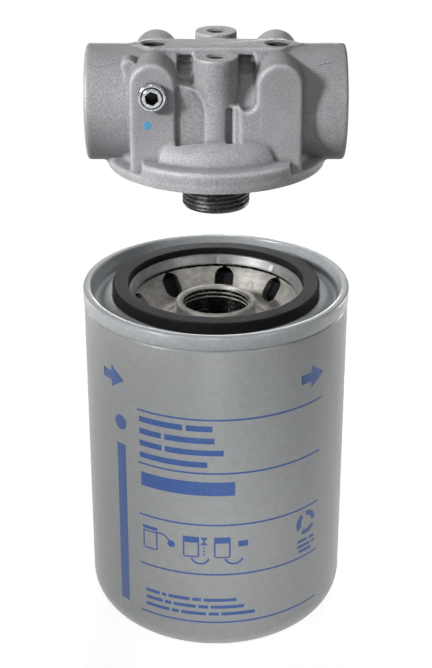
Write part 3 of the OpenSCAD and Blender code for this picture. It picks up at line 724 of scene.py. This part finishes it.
def two_tone(obj, first, second, is_second):
    """Gives the faces whose middle point (in mm) passes the test the second material."""
    obj.data.materials.clear()
    obj.data.materials.append(first)
    obj.data.materials.append(second)
    for face in obj.data.polygons:
        face.material_index = int(is_second(*(v / MM for v in face.center)))


def plug_in_shade(x, y, z):
    """The socket's inside and the groove, which get painted shade."""
    r, proud = math.hypot(x - PLUG[0], z - PLUG[2]), PLUG[1] - y
    return r < 3.3 and proud < 4.5 or 4.4 < r < 4.8 and proud < 3.0


# the socket and the groove get the painted shade
two_tone(plug, PLATED, PAINTED_SHADE, plug_in_shade)
print("plug faces", len(plug.data.polygons))

# %% [markdown]
# Two short raised strokes on the tube come from the photo, as marks that the pattern leaves in the
# sand. Each is a thin bead along a line, because a curve with a round bevel is the quickest bead.

# %% Raised strokes
def ribbon(name, line, radius, material, body):
    """A thin round bead along a line of points in mm."""
    curve = bpy.data.curves.new(name, "CURVE")
    curve.dimensions, curve.bevel_depth, curve.bevel_resolution = "3D", radius * MM, 3
    curve.use_fill_caps = True
    spline = curve.splines.new("POLY")
    spline.points.add(len(line) - 1)
    for spot, p in zip(spline.points, line):
        spot.co = (*(v * MM for v in p), 1)
    drawn = placed(name, curve)
    graph = bpy.context.evaluated_depsgraph_get()
    mesh = bpy.data.meshes.new_from_object(drawn.evaluated_get(graph))
    bpy.data.objects.remove(drawn)
    shade(mesh, 50)
    mesh.materials.clear()
    return finish_piece(name, mesh, material, body)


def on_tube(x, turn, lift=0.1):
    """A point on the port tube; turn is in degrees from the top towards the front."""
    t = math.radians(turn)
    return (x, -(26.4 + lift) * math.sin(t), AXIS_Z + (26.4 + lift) * math.cos(t))


for name, x0, x1, t0, t1 in (("stroke_left", -52.5, -44.5, 38, 33),
                             ("stroke_right", 44.5, 53.5, 37, 31)):
    ribbon(name, [on_tube(x0 + (x1 - x0) * k / 8, t0 + (t1 - t0) * k / 8) for k in range(9)],
           0.35, CAST, "head")

# %% [markdown]
# The inspector's dab of paint under the plug is a very flat disc. A painted material could show it
# too, but a disc keeps its edge round and needs no mask.

# %% Paint dot
PAINT = surface("paint_dot", srgb(92, 158, 198), srgb(100, 166, 206), 0, (0.4, 0.5),
                900, height=0.02)
points, faces = turned([(0.001, -0.2), (2.0, -0.2), (2.0, 0.02), (1.8, 0.08), (0.001, 0.12)], 48)
dot = piece("paint_dot", carried(points, at(-30.3, -PAD_FACE, AXIS_Z - 1.6, TO_FRONT)), faces,
            PAINT, "head")
print("dot at", [round(v, 4) for v in dot.bound_box[0]])

# %% [markdown] ## The bypass valve  If the element clogs, this valve lets the oil past it. Its
# turned parts keep their CAD shape and get their own steels further down.

# %% Valve spring
SPRING = surface("spring_steel", srgb(120, 121, 124), srgb(158, 159, 162), 0.95, (0.2, 0.35),
                 900, height=0.01)


def coil(name, centre, r, wire, z0, z1, turns, sides, per_turn, body, stands_for):
    """Round wire wound between two levels, with the end turns closed up."""
    t = np.linspace(0, turns, int(turns * per_turn) + 1)
    closed = 0.9
    rise = np.clip((t - closed) / (turns - 2 * closed), 0, 1)
    pitch_end = 2 * wire * 1.02
    z = z0 + wire + pitch_end * np.clip(t, 0, closed) \
        + pitch_end * np.clip(t - turns + closed, 0, closed) \
        + rise * (z1 - z0 - 2 * wire - 2 * closed * pitch_end)
    a = 2 * math.pi * t
    side = 2 * math.pi * np.arange(sides) / sides
    reach = r + wire * np.cos(side)[None, :]
    points = np.stack([centre[0] + reach * np.cos(a)[:, None],
                       centre[1] + reach * np.sin(a)[:, None],
                       z[:, None] + wire * np.sin(side)[None, :]], -1).reshape(-1, 3)
    i, j = np.meshgrid(np.arange(len(t) - 1), np.arange(sides), indexing="ij")
    j2 = (j + 1) % sides
    faces = np.stack([i * sides + j, i * sides + j2, (i + 1) * sides + j2, (i + 1) * sides + j], -1)
    faces = faces.reshape(-1, 4).tolist() + [list(range(sides))[::-1],
                                            [len(points) - sides + k for k in range(sides)]]
    mesh = bpy.data.meshes.new(name)
    mesh.from_pydata((points * MM).tolist(), [], faces)
    shade(mesh, 60)
    return finish_piece(name, mesh, SPRING, body, stands_for)


SEAT_TOP, POPPET_T = AXIS_Z - math.sqrt(GALLERY_R ** 2 - 7.4 ** 2) + 0.4, 1.8
spring_low, spring_top = SEAT_TOP + POPPET_T, -23.37
coil_spring = coil("valve_spring", (BYPASS_X, 0), 3.7, 0.5, spring_low, spring_top, 6.5, 12, 32,
                   "head", ["bypass_spring"])
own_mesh(coil_spring)
print("valve spring from", round(spring_low, 2), "to", spring_top)

# %% [markdown]
# ## The canister's shell
#
# The shell is deep-drawn sheet steel, enamelled: a dished bottom, a wide round corner and a small
# step under the rolled seam. It is one profile, down the outside and back up the inside, so that
# it is a closed wall of 1 mm as the real one is.

# %% Drawn shell
ENAMEL = surface("grey_enamel", srgb(146, 148, 148), srgb(152, 154, 154), 0, (0.34, 0.42),
                 300, height=0.004, coat=0.25, bump_scale=180)


def shell_profile():
    """The shell's outside from the middle of the bottom to the rim, and back inside."""
    dish, corner, neck = 34.0, 18.0, SEAM_R - 1.1
    bottom = RIM_Z - CAN_H
    sphere = (dish ** 2 + 9) / 6
    bowl = [(dish * k / 8, bottom + 3 - sphere + math.sqrt(sphere ** 2 - (dish * k / 8) ** 2))
            for k in range(8)]
    outside = bowl + arc(dish + 1.5, bottom + 1.5, 1.5, -135, -90, 3) \
        + arc(CAN_R - corner, bottom + corner, corner, -90, 0, 20) \
        + [(CAN_R, RIM_Z - 60), (CAN_R, RIM_Z - 8.4), (CAN_R - 0.15, RIM_Z - 7.9),
           (neck, RIM_Z - 7.3), (neck, RIM_Z - 1.1)]
    inside = [(r - 1 if r > 2 else r, z + 1) for r, z in outside if z < RIM_Z - 20]
    return outside + [(neck - 1, RIM_Z - 1.1), (neck - 1, RIM_Z - 7.5), (CAN_R - 1, RIM_Z - 9)] \
        + inside[::-1]


points, faces = turned([(max(r, 1e-4), z) for r, z in shell_profile()])
shell = piece("shell_drawn", points, faces, ENAMEL, "canister",
              ["can_shell"], sharp=40)
print("shell faces", len(shell.data.polygons))

# %% [markdown]
# ## The lid
#
# The lid rolls over the shell's edge, drops into a moat, rises to the gasket's channel and ends in
# a crimped lip of bare steel that holds the base plate. Sheet has no sharp corners, so cut corners
# soften the profile's bends. The jaws of the crimping tool are pressed in by shifting the lip's
# radius at eight turns, which a separate dent for each would do less smoothly.

# %% Rolled lid
CRIMPS = 8
LID_ENAMEL = surface("lid_enamel", srgb(158, 162, 164), srgb(168, 172, 174), 0, (0.3, 0.4),
                     400, height=0.006, coat=0.6, bump_scale=250)
LIP = surface("lip_steel", srgb(132, 132, 131), srgb(154, 154, 153), 0.5, (0.4, 0.55),
              260, height=0.008, blotch=45, stretch=(1, 1, 2))


def soften(points, rounds=2, closed=True):
    """Cuts the corners of a line of points, which rounds it as pressed sheet is rounded."""
    for _ in range(rounds):
        pairs = list(zip(points, points[1:] + points[:1] if closed else points[1:]))
        cut = [(a[0] + t * (b[0] - a[0]), a[1] + t * (b[1] - a[1]))
               for a, b in pairs for t in (0.25, 0.75)]
        points = cut if closed else [points[0]] + cut + [points[-1]]
    return points


def lid_profile():
    """Rolled rim, moat, channel for the gasket and lip, then back underneath."""
    crest, roll, in_r, out_r = 1.2, 3.9, GASKET_IN - 0.15, GASKET_OUT + 0.15
    wall = SEAM_R - roll - 0.9
    neck, tuck = SEAM_R - 1.1, SEAM_R - 2.1
    top = arc(SEAM_R - crest, -crest, crest, 0, 90, 6) \
        + arc(SEAM_R - roll + crest, -crest, crest, 90, 170, 6)
    moat = soften([(wall + 0.3, -3.5), (wall, -6.0), (wall - 1.0, -7.6), (wall - 3.4, -7.5),
                   (wall - 5.0, -5.6), (out_r + 1.3, -4.9), (out_r + 0.5, -4.9)], 2, closed=False)
    lip = soften([(in_r, -3.4), (in_r - 0.1, -2.6), (in_r - 0.9, -2.6), (in_r - 1.3, -3.2),
                  (38.9, -6.4), (38.9, -7.1)], 2, closed=False)
    low = soften([(out_r + 1.1, -7.1), (out_r + 1.1, -6.0), (wall - 4.2, -8.4), (wall - 1, -8.7),
                  (tuck, -7.0), (tuck, -1.1)], 1, closed=False)
    line = [(SEAM_R - 0.25, -6.7), (SEAM_R, -6.3)] + top + moat \
        + [(out_r, -5.1), (out_r, -6.0), (in_r, -6.0)] + lip + low + [(neck, -1.1), (neck, -6.7)]
    return [(r, z + RIM_Z) for r, z in line]


def crimped(r, z, turn):
    """Presses the bare lip outwards at the crimping tool's jaws."""
    place = (turn * CRIMPS / (2 * math.pi) + 0.5) % 1 - 0.5
    jaw = np.exp(-(place / 0.035) ** 2)
    low = np.clip((-2.9 - (z - RIM_Z)) / 1.5, 0, 1) * (r < 41)
    return r + 0.45 * jaw * low, z


points, faces = turned(lid_profile(), 384, crimped)
lid = piece("rolled_lid", points, faces, LID_ENAMEL, "canister",
            ["seaming_lid"], sharp=40)
two_tone(lid, LID_ENAMEL, LIP, lambda x, y, z: math.hypot(x, y) < 41.9 and z > RIM_Z - 7.2)
print("lid faces", len(lid.data.polygons))

# %% [markdown]
# ## The gasket
#
# This moulded rubber ring seals the canister against the head. Fine rings on its top grip the
# sealing face. They are part of the profile, because a bump would not show on the silhouette.

# %% Lid gasket
RUBBER = surface("gasket_rubber", srgb(18, 19, 21), srgb(31, 32, 35), 0, (0.42, 0.6),
                 1200, height=0.015, blotch=80, specular=0.12)


def gasket_profile():
    """A ring with rounded edges and fine grooves in its top."""
    base, top, edge, groove = -6.0, 0.5, 0.7, 0.13
    low, high = GASKET_IN + edge, GASKET_OUT - edge
    across, rings, steps = GASKET_OUT - GASKET_IN - 2 * edge, 5, 60
    face = [(low + across * k / steps,
             top - groove * max(0, math.cos(2 * math.pi * (k / steps) * rings)) ** 3)
            for k in range(steps + 1)]
    line = [(GASKET_IN, base + edge)] + arc(low, top - edge, edge, 180, 95, 5) + face \
        + arc(high, top - edge, edge, 85, 0, 5) + arc(high, base + edge, edge, 0, -90, 4) \
        + [(low, base)]
    return [(r, z + RIM_Z) for r, z in line]


points, faces = turned(gasket_profile())
gasket = piece("lid_seal", points, faces, RUBBER, "canister",
               ["lid_gasket"], sharp=40)
print("gasket faces", len(gasket.data.polygons))

# %% [markdown]
# ## The base plate
#
# The pressed plate carries the thread that holds the whole canister. Its grooves are cut outwards
# from the CAD's bore, so that the nipple can slide up through it. Like the nipple, it is a turned
# profile with a helix, and the shared pitch makes the two look like one pair.

# %% Plate and its thread
BORE_R, BOSS_R, BOSS_TOP, BOSS_END = 15.95, 19.3, -9.5, -30.0
PLATE_TOP, CONE_H, PLATE_T = -7.1, 13.7, 3.5
CONE_TOP_R, CONE_FOOT_R = 40.0, 30.8
PLATE_FLOOR = PLATE_TOP - CONE_H
BARE = surface("bare_steel", srgb(150, 147, 142), srgb(180, 177, 171), 0.4, (0.38, 0.55),
               260, height=0.012, blotch=45, stretch=(1, 1, 2))


def plate_profile():
    """The plate's upper side, the boss, its bore, and back underneath."""
    slope = math.hypot(CONE_H, CONE_TOP_R - CONE_FOOT_R)
    shift = PLATE_T * CONE_H / slope
    shown = soften([(52, PLATE_TOP), (CONE_TOP_R + 1.5, PLATE_TOP),
                    (CONE_TOP_R - 0.6, PLATE_TOP - 1.2),
                    (CONE_FOOT_R + 1.0, PLATE_FLOOR + 1.6), (CONE_FOOT_R - 2.0, PLATE_FLOOR),
                    (27.4, PLATE_FLOOR), (26.9, PLATE_FLOOR + 0.6), (26.1, PLATE_FLOOR + 0.6),
                    (25.6, PLATE_FLOOR), (BOSS_R + 5, PLATE_FLOOR)], 3, closed=False)
    mouth = arc(BOSS_R + 5, PLATE_FLOOR + 5, 5, 265, 180, 10) \
        + arc(BOSS_R - 0.7, BOSS_TOP - 0.7, 0.7, 0, 90, 5) \
        + [(BORE_R + 0.9, BOSS_TOP), (BORE_R, BOSS_TOP - 0.9)]
    inner = [(BORE_R, z) for z in np.arange(BOSS_TOP - 1.1, BOSS_END, -0.16)]
    under = [(BORE_R, BOSS_END), (BOSS_R, BOSS_END), (BOSS_R, PLATE_FLOOR - PLATE_T),
             (CONE_FOOT_R + shift / 2, PLATE_FLOOR - PLATE_T),
             (CONE_TOP_R + shift, PLATE_TOP - PLATE_T), (52, PLATE_TOP - PLATE_T)]
    return [(r, z + RIM_Z) for r, z in shown + mouth + inner + under]


def plate_thread(r, z, turn):
    """Cuts the groove outwards from the bore, which fades out at both ends."""
    depth, groove = z - RIM_Z, 1.1
    fade = np.clip((BOSS_TOP - 0.2 - depth) / 1.2, 0, 1) * np.clip((depth - BOSS_END) / 1.5, 0, 1)
    inside = r < BORE_R + 0.95
    return np.where(inside, r + fade * (groove - thread_depth(z, turn, groove)), r), z


points, faces = turned(plate_profile(), 224, plate_thread)
plate = piece("thread_plate", points, faces, BARE, "canister",
              ["base_plate"], sharp=50)
print("plate faces before the holes", len(plate.data.polygons))

# %% [markdown]
# Eight oval oil holes let the dirty oil in. A punch goes square through the sheet, so each cutter
# is a prism that stands square to the cone, turned to where the photo shows the hole. The thread,
# the shadowed strip under the lip and the underside get the dark finish as painted shade.

# %% Oil holes
def oval_cutter(turn):
    """A tall oval prism, square to the cone's wall, at a turn about the axis."""
    width, length = 9.6, 13.0
    bm = bmesh.new()
    side = [(math.cos(a) * width / 2,
             math.sin(a) * width / 2 + math.copysign((length - width) / 2, math.sin(a)))
            for a in np.linspace(0, 2 * math.pi, 48, endpoint=False) + 1e-3]
    low = [bm.verts.new((x, y, -6)) for x, y in side]
    high = [bm.verts.new((x, y, 6)) for x, y in side]
    bm.faces.new(low[::-1])
    bm.faces.new(high)
    for k in range(48):
        bm.faces.new((low[k], low[(k + 1) % 48], high[(k + 1) % 48], high[k]))
    tilt = math.atan2(CONE_H, CONE_TOP_R - CONE_FOOT_R)
    matrix = Matrix.Rotation(turn, 4, "Z") \
        @ Matrix.Translation((0, (CONE_TOP_R + CONE_FOOT_R) / 2, RIM_Z + PLATE_TOP - CONE_H / 2)) \
        @ Matrix.Rotation(tilt, 4, "X")
    bmesh.ops.transform(bm, matrix=matrix, verts=bm.verts)
    to_metres(bm)
    return bm


def plate_in_shade(x, y, z):
    """Painted shade: the thread's grooves, the deep bore, the strip under the lip and the
    underside.
    """
    r, z = math.hypot(x, y), z - RIM_Z
    groove = BORE_R + 0.3 < r < BORE_R + 1.3 and z < BOSS_TOP - 0.9
    deep = r < BORE_R + 1.3 and z < BOSS_TOP - 7
    return groove or deep or (r > 39.3 and z < PLATE_TOP + 0.01) or z < PLATE_FLOOR - 0.2


for k in range(8):
    carve(plate, oval_cutter(math.radians(-6.5 - 45 * k)))
shade(plate.data, 50)
# painted shade on the bore's grooves, the strip under the lip and the underside
two_tone(plate, BARE, PAINTED_SHADE, plate_in_shade)
print("plate faces", len(plate.data.polygons))

# %% [markdown]
# A small arch is stamped into the plate between two holes. Its line is laid on the cone and made
# as a bead, like the strokes on the tube.

# %% Stamped arch
def on_cone(r, turn):
    """A point on the plate's cone; turn is in degrees from the back towards the right."""
    t = math.radians(turn)
    z = RIM_Z + PLATE_FLOOR + (r - CONE_FOOT_R) / (CONE_TOP_R - CONE_FOOT_R) * CONE_H
    return (r * math.sin(t), r * math.cos(t), z)


bend = [math.pi * k / 8 for k in range(9)]
arch = [(31.4, 32.5), (34.2, 32.3)] \
    + [(34.2 + 1.5 * math.sin(t), 29.5 + 2.8 * math.cos(t)) for t in bend] \
    + [(34.2, 26.7), (31.4, 26.5)]
ribbon("stamped_arch", [on_cone(r, turn) for r, turn in arch], 0.2, BARE, "canister")
print("arch of", len(arch), "points")

# %% [markdown]
# ## The print
#
# The blue print is generic: plain rules, two arrows, rows of bars and a few simple shapes.
# Silk-screened ink is a very thin layer on the enamel. A mask in the material could draw it, but
# outlines laid on the shell stay sharp in close views. Each is cut into narrow strips before it is
# bent, so that it follows the round wall.

# %% Laying a print
PRINT = surface("blue_print", srgb(32, 72, 138), srgb(42, 84, 150), 0, (0.35, 0.42), 600, coat=0.4)


def lay_on_shell(name, outlines, lift=0.03):
    """Flat outlines of (distance round the shell from the front, depth below the rim), in mm."""
    bm = bmesh.new()
    for outline in outlines:
        bm.faces.new([bm.verts.new((s, 0, RIM_Z + z)) for s, z in outline])
    bmesh.ops.triangulate(bm, faces=bm.faces)
    low = min(s for o in outlines for s, _ in o)
    high = max(s for o in outlines for s, _ in o)
    for s in np.arange(low + 1.5, high, 1.5):
        bmesh.ops.bisect_plane(bm, geom=bm.verts[:] + bm.edges[:] + bm.faces[:],
                               plane_co=(s, 0, 0), plane_no=(1, 0, 0))
    for v in bm.verts:
        a = v.co.x / CAN_R
        v.co = ((CAN_R + lift) * math.sin(a), -(CAN_R + lift) * math.cos(a), v.co.z)
    to_metres(bm)
    mesh = bpy.data.meshes.new(name)
    bm.to_mesh(mesh)
    bm.free()
    return finish_piece(name, mesh, PRINT, "canister")


def bar(s0, s1, z, height):
    """A bar from s0 to s1 with its middle at z."""
    return [(s0, z - height / 2), (s1, z - height / 2), (s1, z + height / 2), (s0, z + height / 2)]


def moved(outline, s, z):
    """An outline drawn about (s, z)."""
    return [(s + a, z + b) for a, b in outline]


def ring_part(r0, r1, start, stop, steps=10):
    """Part of a flat ring, as an outline."""
    turns = np.radians(np.linspace(start, stop, steps + 1))
    return [(r1 * math.cos(t), r1 * math.sin(t)) for t in turns] \
        + [(r0 * math.cos(t), r0 * math.sin(t)) for t in turns[::-1]]


def disc(radius, steps=32):
    """A round outline."""
    turns = np.linspace(0, 2 * math.pi, steps, endpoint=False)
    return [(radius * math.cos(t), radius * math.sin(t)) for t in turns]


print("a disc has", len(disc(1)), "points")

# %% [markdown]
# Five rules part the print into rows. An arrow at each side points the same way round.

# %% Rules and arrows
RULE_LEFT, RULE_RIGHT = -39.0, 56.5
rules = [bar(RULE_LEFT, RULE_RIGHT, z, 0.95) for z in (-42.0, -70.1, -98.2, -125.9, -153.5)]
lay_on_shell("print_rules", rules)

ARROW = [(-7.4, 2.4), (-1.0, 2.4), (-1.0, 5.8), (7.8, 0), (-1.0, -5.8), (-1.0, -2.4),
         (-7.4, -2.4), (-5.2, 0)]
lay_on_shell("print_arrows", [moved(ARROW, -54.5, -30.0), moved(ARROW, 50.0, -28.6)])
print("rules", len(rules))

# %% [markdown]
# Rows of bars have the rhythm of printed lines, and say nothing. Each row is a list of lengths, so
# that a line is changed by changing one number.

# %% Rows of bars
def bar_row(left, z, height, lengths, gap=1.6):
    """A row of bars from left to right, one for each length."""
    row, s = [], left
    for length in lengths:
        row.append(bar(s, s + length, z, height))
        s += length + gap
    return row


bars = bar_row(-38, -46.6, 3.0, (22.4, 12.4)) + bar_row(-38, -52.9, 3.0, (11.8, 23.9)) \
    + bar_row(-38, -59.2, 3.0, (12.0, 28.0)) + bar_row(-38, -65.5, 3.0, (34.0,)) \
    + bar_row(-37.5, -78.4, 7.4, (46.5,)) \
    + bar_row(-36, -140.6, 1.8, (7.6, 2.4, 10.8, 4.4, 16.0), 1.2) \
    + bar_row(-36, -144.6, 1.8, (9.2, 3.4, 11.2, 4.8, 16.4), 1.2) \
    + bar_row(-36, -148.6, 1.8, (12.8, 3.6, 12.4, 5.0, 16.6), 1.2)
lay_on_shell("print_bars", bars)
print("bars", len(bars))

# %% [markdown]
# The row of small marks shows a canister three times: wiped, filled and turned. They are drawn as
# plain outlines, and the round mark at the right is three parts of a ring.

# %% Small marks
def small_can(s, z, filled):
    """A cup outline with a band at its top."""
    cup = [bar(s - 4.0, s - 3.2, z, 9), bar(s + 3.2, s + 4.0, z, 9),
           bar(s - 3.2, s + 3.2, z - 4.6, 0.8)]
    return cup + [bar(s - 4.0, s + 4.0, z + 4.9, 0.8 if not filled else filled)]


marks = small_can(-33.0, -111.5, 0) + [bar(-37.2, -29.0, -104.6, 1.8)] \
    + [moved(ring_part(5.0, 5.9, 25, 110, 8), -27.8, -111.6), moved(disc(1.9), -21.8, -110.6)] \
    + small_can(-12.0, -111.5, 3.4) + [bar(-6.2, -5.3, z, 0.9) for z in (-114.6, -112.8, -111.0)] \
    + [[(-7.6, -105.0), (-3.8, -105.0), (-5.7, -107.6)],
       [(-5.7, -107.0), (-3.8, -109.4), (-7.6, -109.4)]] \
    + small_can(3.0, -111.5, 3.4) \
    + [moved(ring_part(4.0, 5.0, 200, 340, 12), s, -115.4) for s in (-7.6, 8.6)] \
    + [bar(10.6, 15.4, -108.8, 3.2)]
lay_on_shell("print_marks", marks)
thirds = [moved(ring_part(3.8, 6.4, a, a + 92, 10), 48.0, -107.0) for a in (0, 120, 240)] \
    + bar_row(42.5, -116.6, 1.6, (6.5, 3.6), 1.2) \
    + bar_row(42.5, -119.6, 1.6, (8.5, 2.4), 1.2) \
    + bar_row(43.5, -122.4, 1.6, (8.5,), 1.2)
lay_on_shell("print_round_mark", thirds)
print("marks", len(marks), "round mark", len(thirds))

# %% [markdown]
# An upright bar with a disc above it gives the print a strong left edge. Both are made as the
# other outlines are, so the strips also bend the disc round the shell.

# %% Upright bar
upright = [bar(-52.6, -46.8, -108.0, 88.0), moved(disc(3.9), -49.7, -52.6)]
lay_on_shell("print_upright", upright)
print("upright", len(upright))

# %% [markdown]
# ## The inner pieces
#
# The element, its end caps and springs and the small valve parts can't be seen in the photo. They
# keep their CAD shape, which is all that they need, and get procedural finishes on the object's
# own material slots, so that the shared meshes stay as they are.

# %% Finishes of the inner pieces
VALVE = surface("valve_steel", srgb(160, 158, 154), srgb(192, 190, 186), 0.9, (0.2, 0.35),
                600, height=0.01)
CAP = surface("cap_steel", srgb(168, 168, 170), srgb(200, 200, 202), 0.9, (0.22, 0.4),
              180, height=0.02, blotch=40)
MEDIA = surface("filter_media", srgb(214, 206, 178), srgb(236, 230, 208), 0, (0.85, 0.95),
                1400, height=0.08, specular=0.2)
FINISHES = {
    "plug_seal": RUBBER, "bypass_seat": VALVE, "bypass_cage": VALVE, "bypass_circlip": SPRING,
    "bypass_poppet": PLATED, "element_seal": RUBBER, "drain_flap": RUBBER,
    "upper_end_cap": CAP, "centre_tube": CAP, "pleated_media": MEDIA, "pleat_clip": CAP,
    "lower_end_cap": CAP, "support_spring": SPRING,
}
for name, material in FINISHES.items():
    for k in range(len(nodes[name].material_slots)):
        nodes[name].material_slots[k].link = "OBJECT"
        nodes[name].material_slots[k].material = material
print("finished", sorted(FINISHES))

# %% [markdown]
# ## The floor
#
# The canister stands over a sheet of white paper. Real paper would go grey at the edges of the
# picture, so for the camera it glows a little, more so away from the canister, and still keeps
# the soft shadow underneath.

# %% White floor
FLOOR_Z = RIM_Z - CAN_H - 0.1
FLOOR_GLOW = 0.80


def floor_white():
    """White paper that glows for the camera, fully away from the canister, and keeps the shadow."""
    made = surface("floor", (0.93, 0.93, 0.93), (0.95, 0.95, 0.95), 0, (0.7, 0.8), 20, specular=0.1)
    tree = made.node_tree
    where = tree.nodes.new("ShaderNodeTexCoord")
    place = tree.nodes.new("ShaderNodeMapping")
    place.inputs["Scale"].default_value = (1.6, 1.6, 1.6)
    reach = tree.nodes.new("ShaderNodeTexGradient")
    reach.gradient_type = "SPHERICAL"
    tree.links.new(where.outputs["Object"], place.inputs["Vector"])
    tree.links.new(place.outputs["Vector"], reach.inputs["Vector"])
    level = tree.nodes.new("ShaderNodeMapRange")
    level.inputs["To Min"].default_value = 1.0
    level.inputs["To Max"].default_value = FLOOR_GLOW
    tree.links.new(reach.outputs["Fac"], level.inputs["Value"])
    rays = tree.nodes.new("ShaderNodeLightPath")
    seen = tree.nodes.new("ShaderNodeMath")
    seen.operation = "MAXIMUM"
    tree.links.new(rays.outputs["Is Camera Ray"], seen.inputs[0])
    tree.links.new(rays.outputs["Is Glossy Ray"], seen.inputs[1])
    lift = tree.nodes.new("ShaderNodeMath")
    lift.operation = "MULTIPLY"
    tree.links.new(seen.outputs[0], lift.inputs[0])
    tree.links.new(level.outputs["Result"], lift.inputs[1])
    glow = tree.nodes.new("ShaderNodeEmission")
    tree.links.new(lift.outputs[0], glow.inputs["Strength"])
    both = tree.nodes.new("ShaderNodeAddShader")
    result = next(n for n in tree.nodes if n.type == "OUTPUT_MATERIAL")
    tree.links.new(tree.nodes["Principled BSDF"].outputs[0], both.inputs[0])
    tree.links.new(glow.outputs[0], both.inputs[1])
    tree.links.new(both.outputs[0], result.inputs["Surface"])
    return made


mesh = bpy.data.meshes.new("floor")
mesh.from_pydata([(x, y, 0) for x, y in ((-2, -2), (2, -2), (2, 2), (-2, 2))], [], [(0, 1, 2, 3)])
floor = placed("floor", mesh)
floor.location = (0, 0, FLOOR_Z * MM)
mesh.materials.append(floor_white())
print("floor at", round(FLOOR_Z, 2))
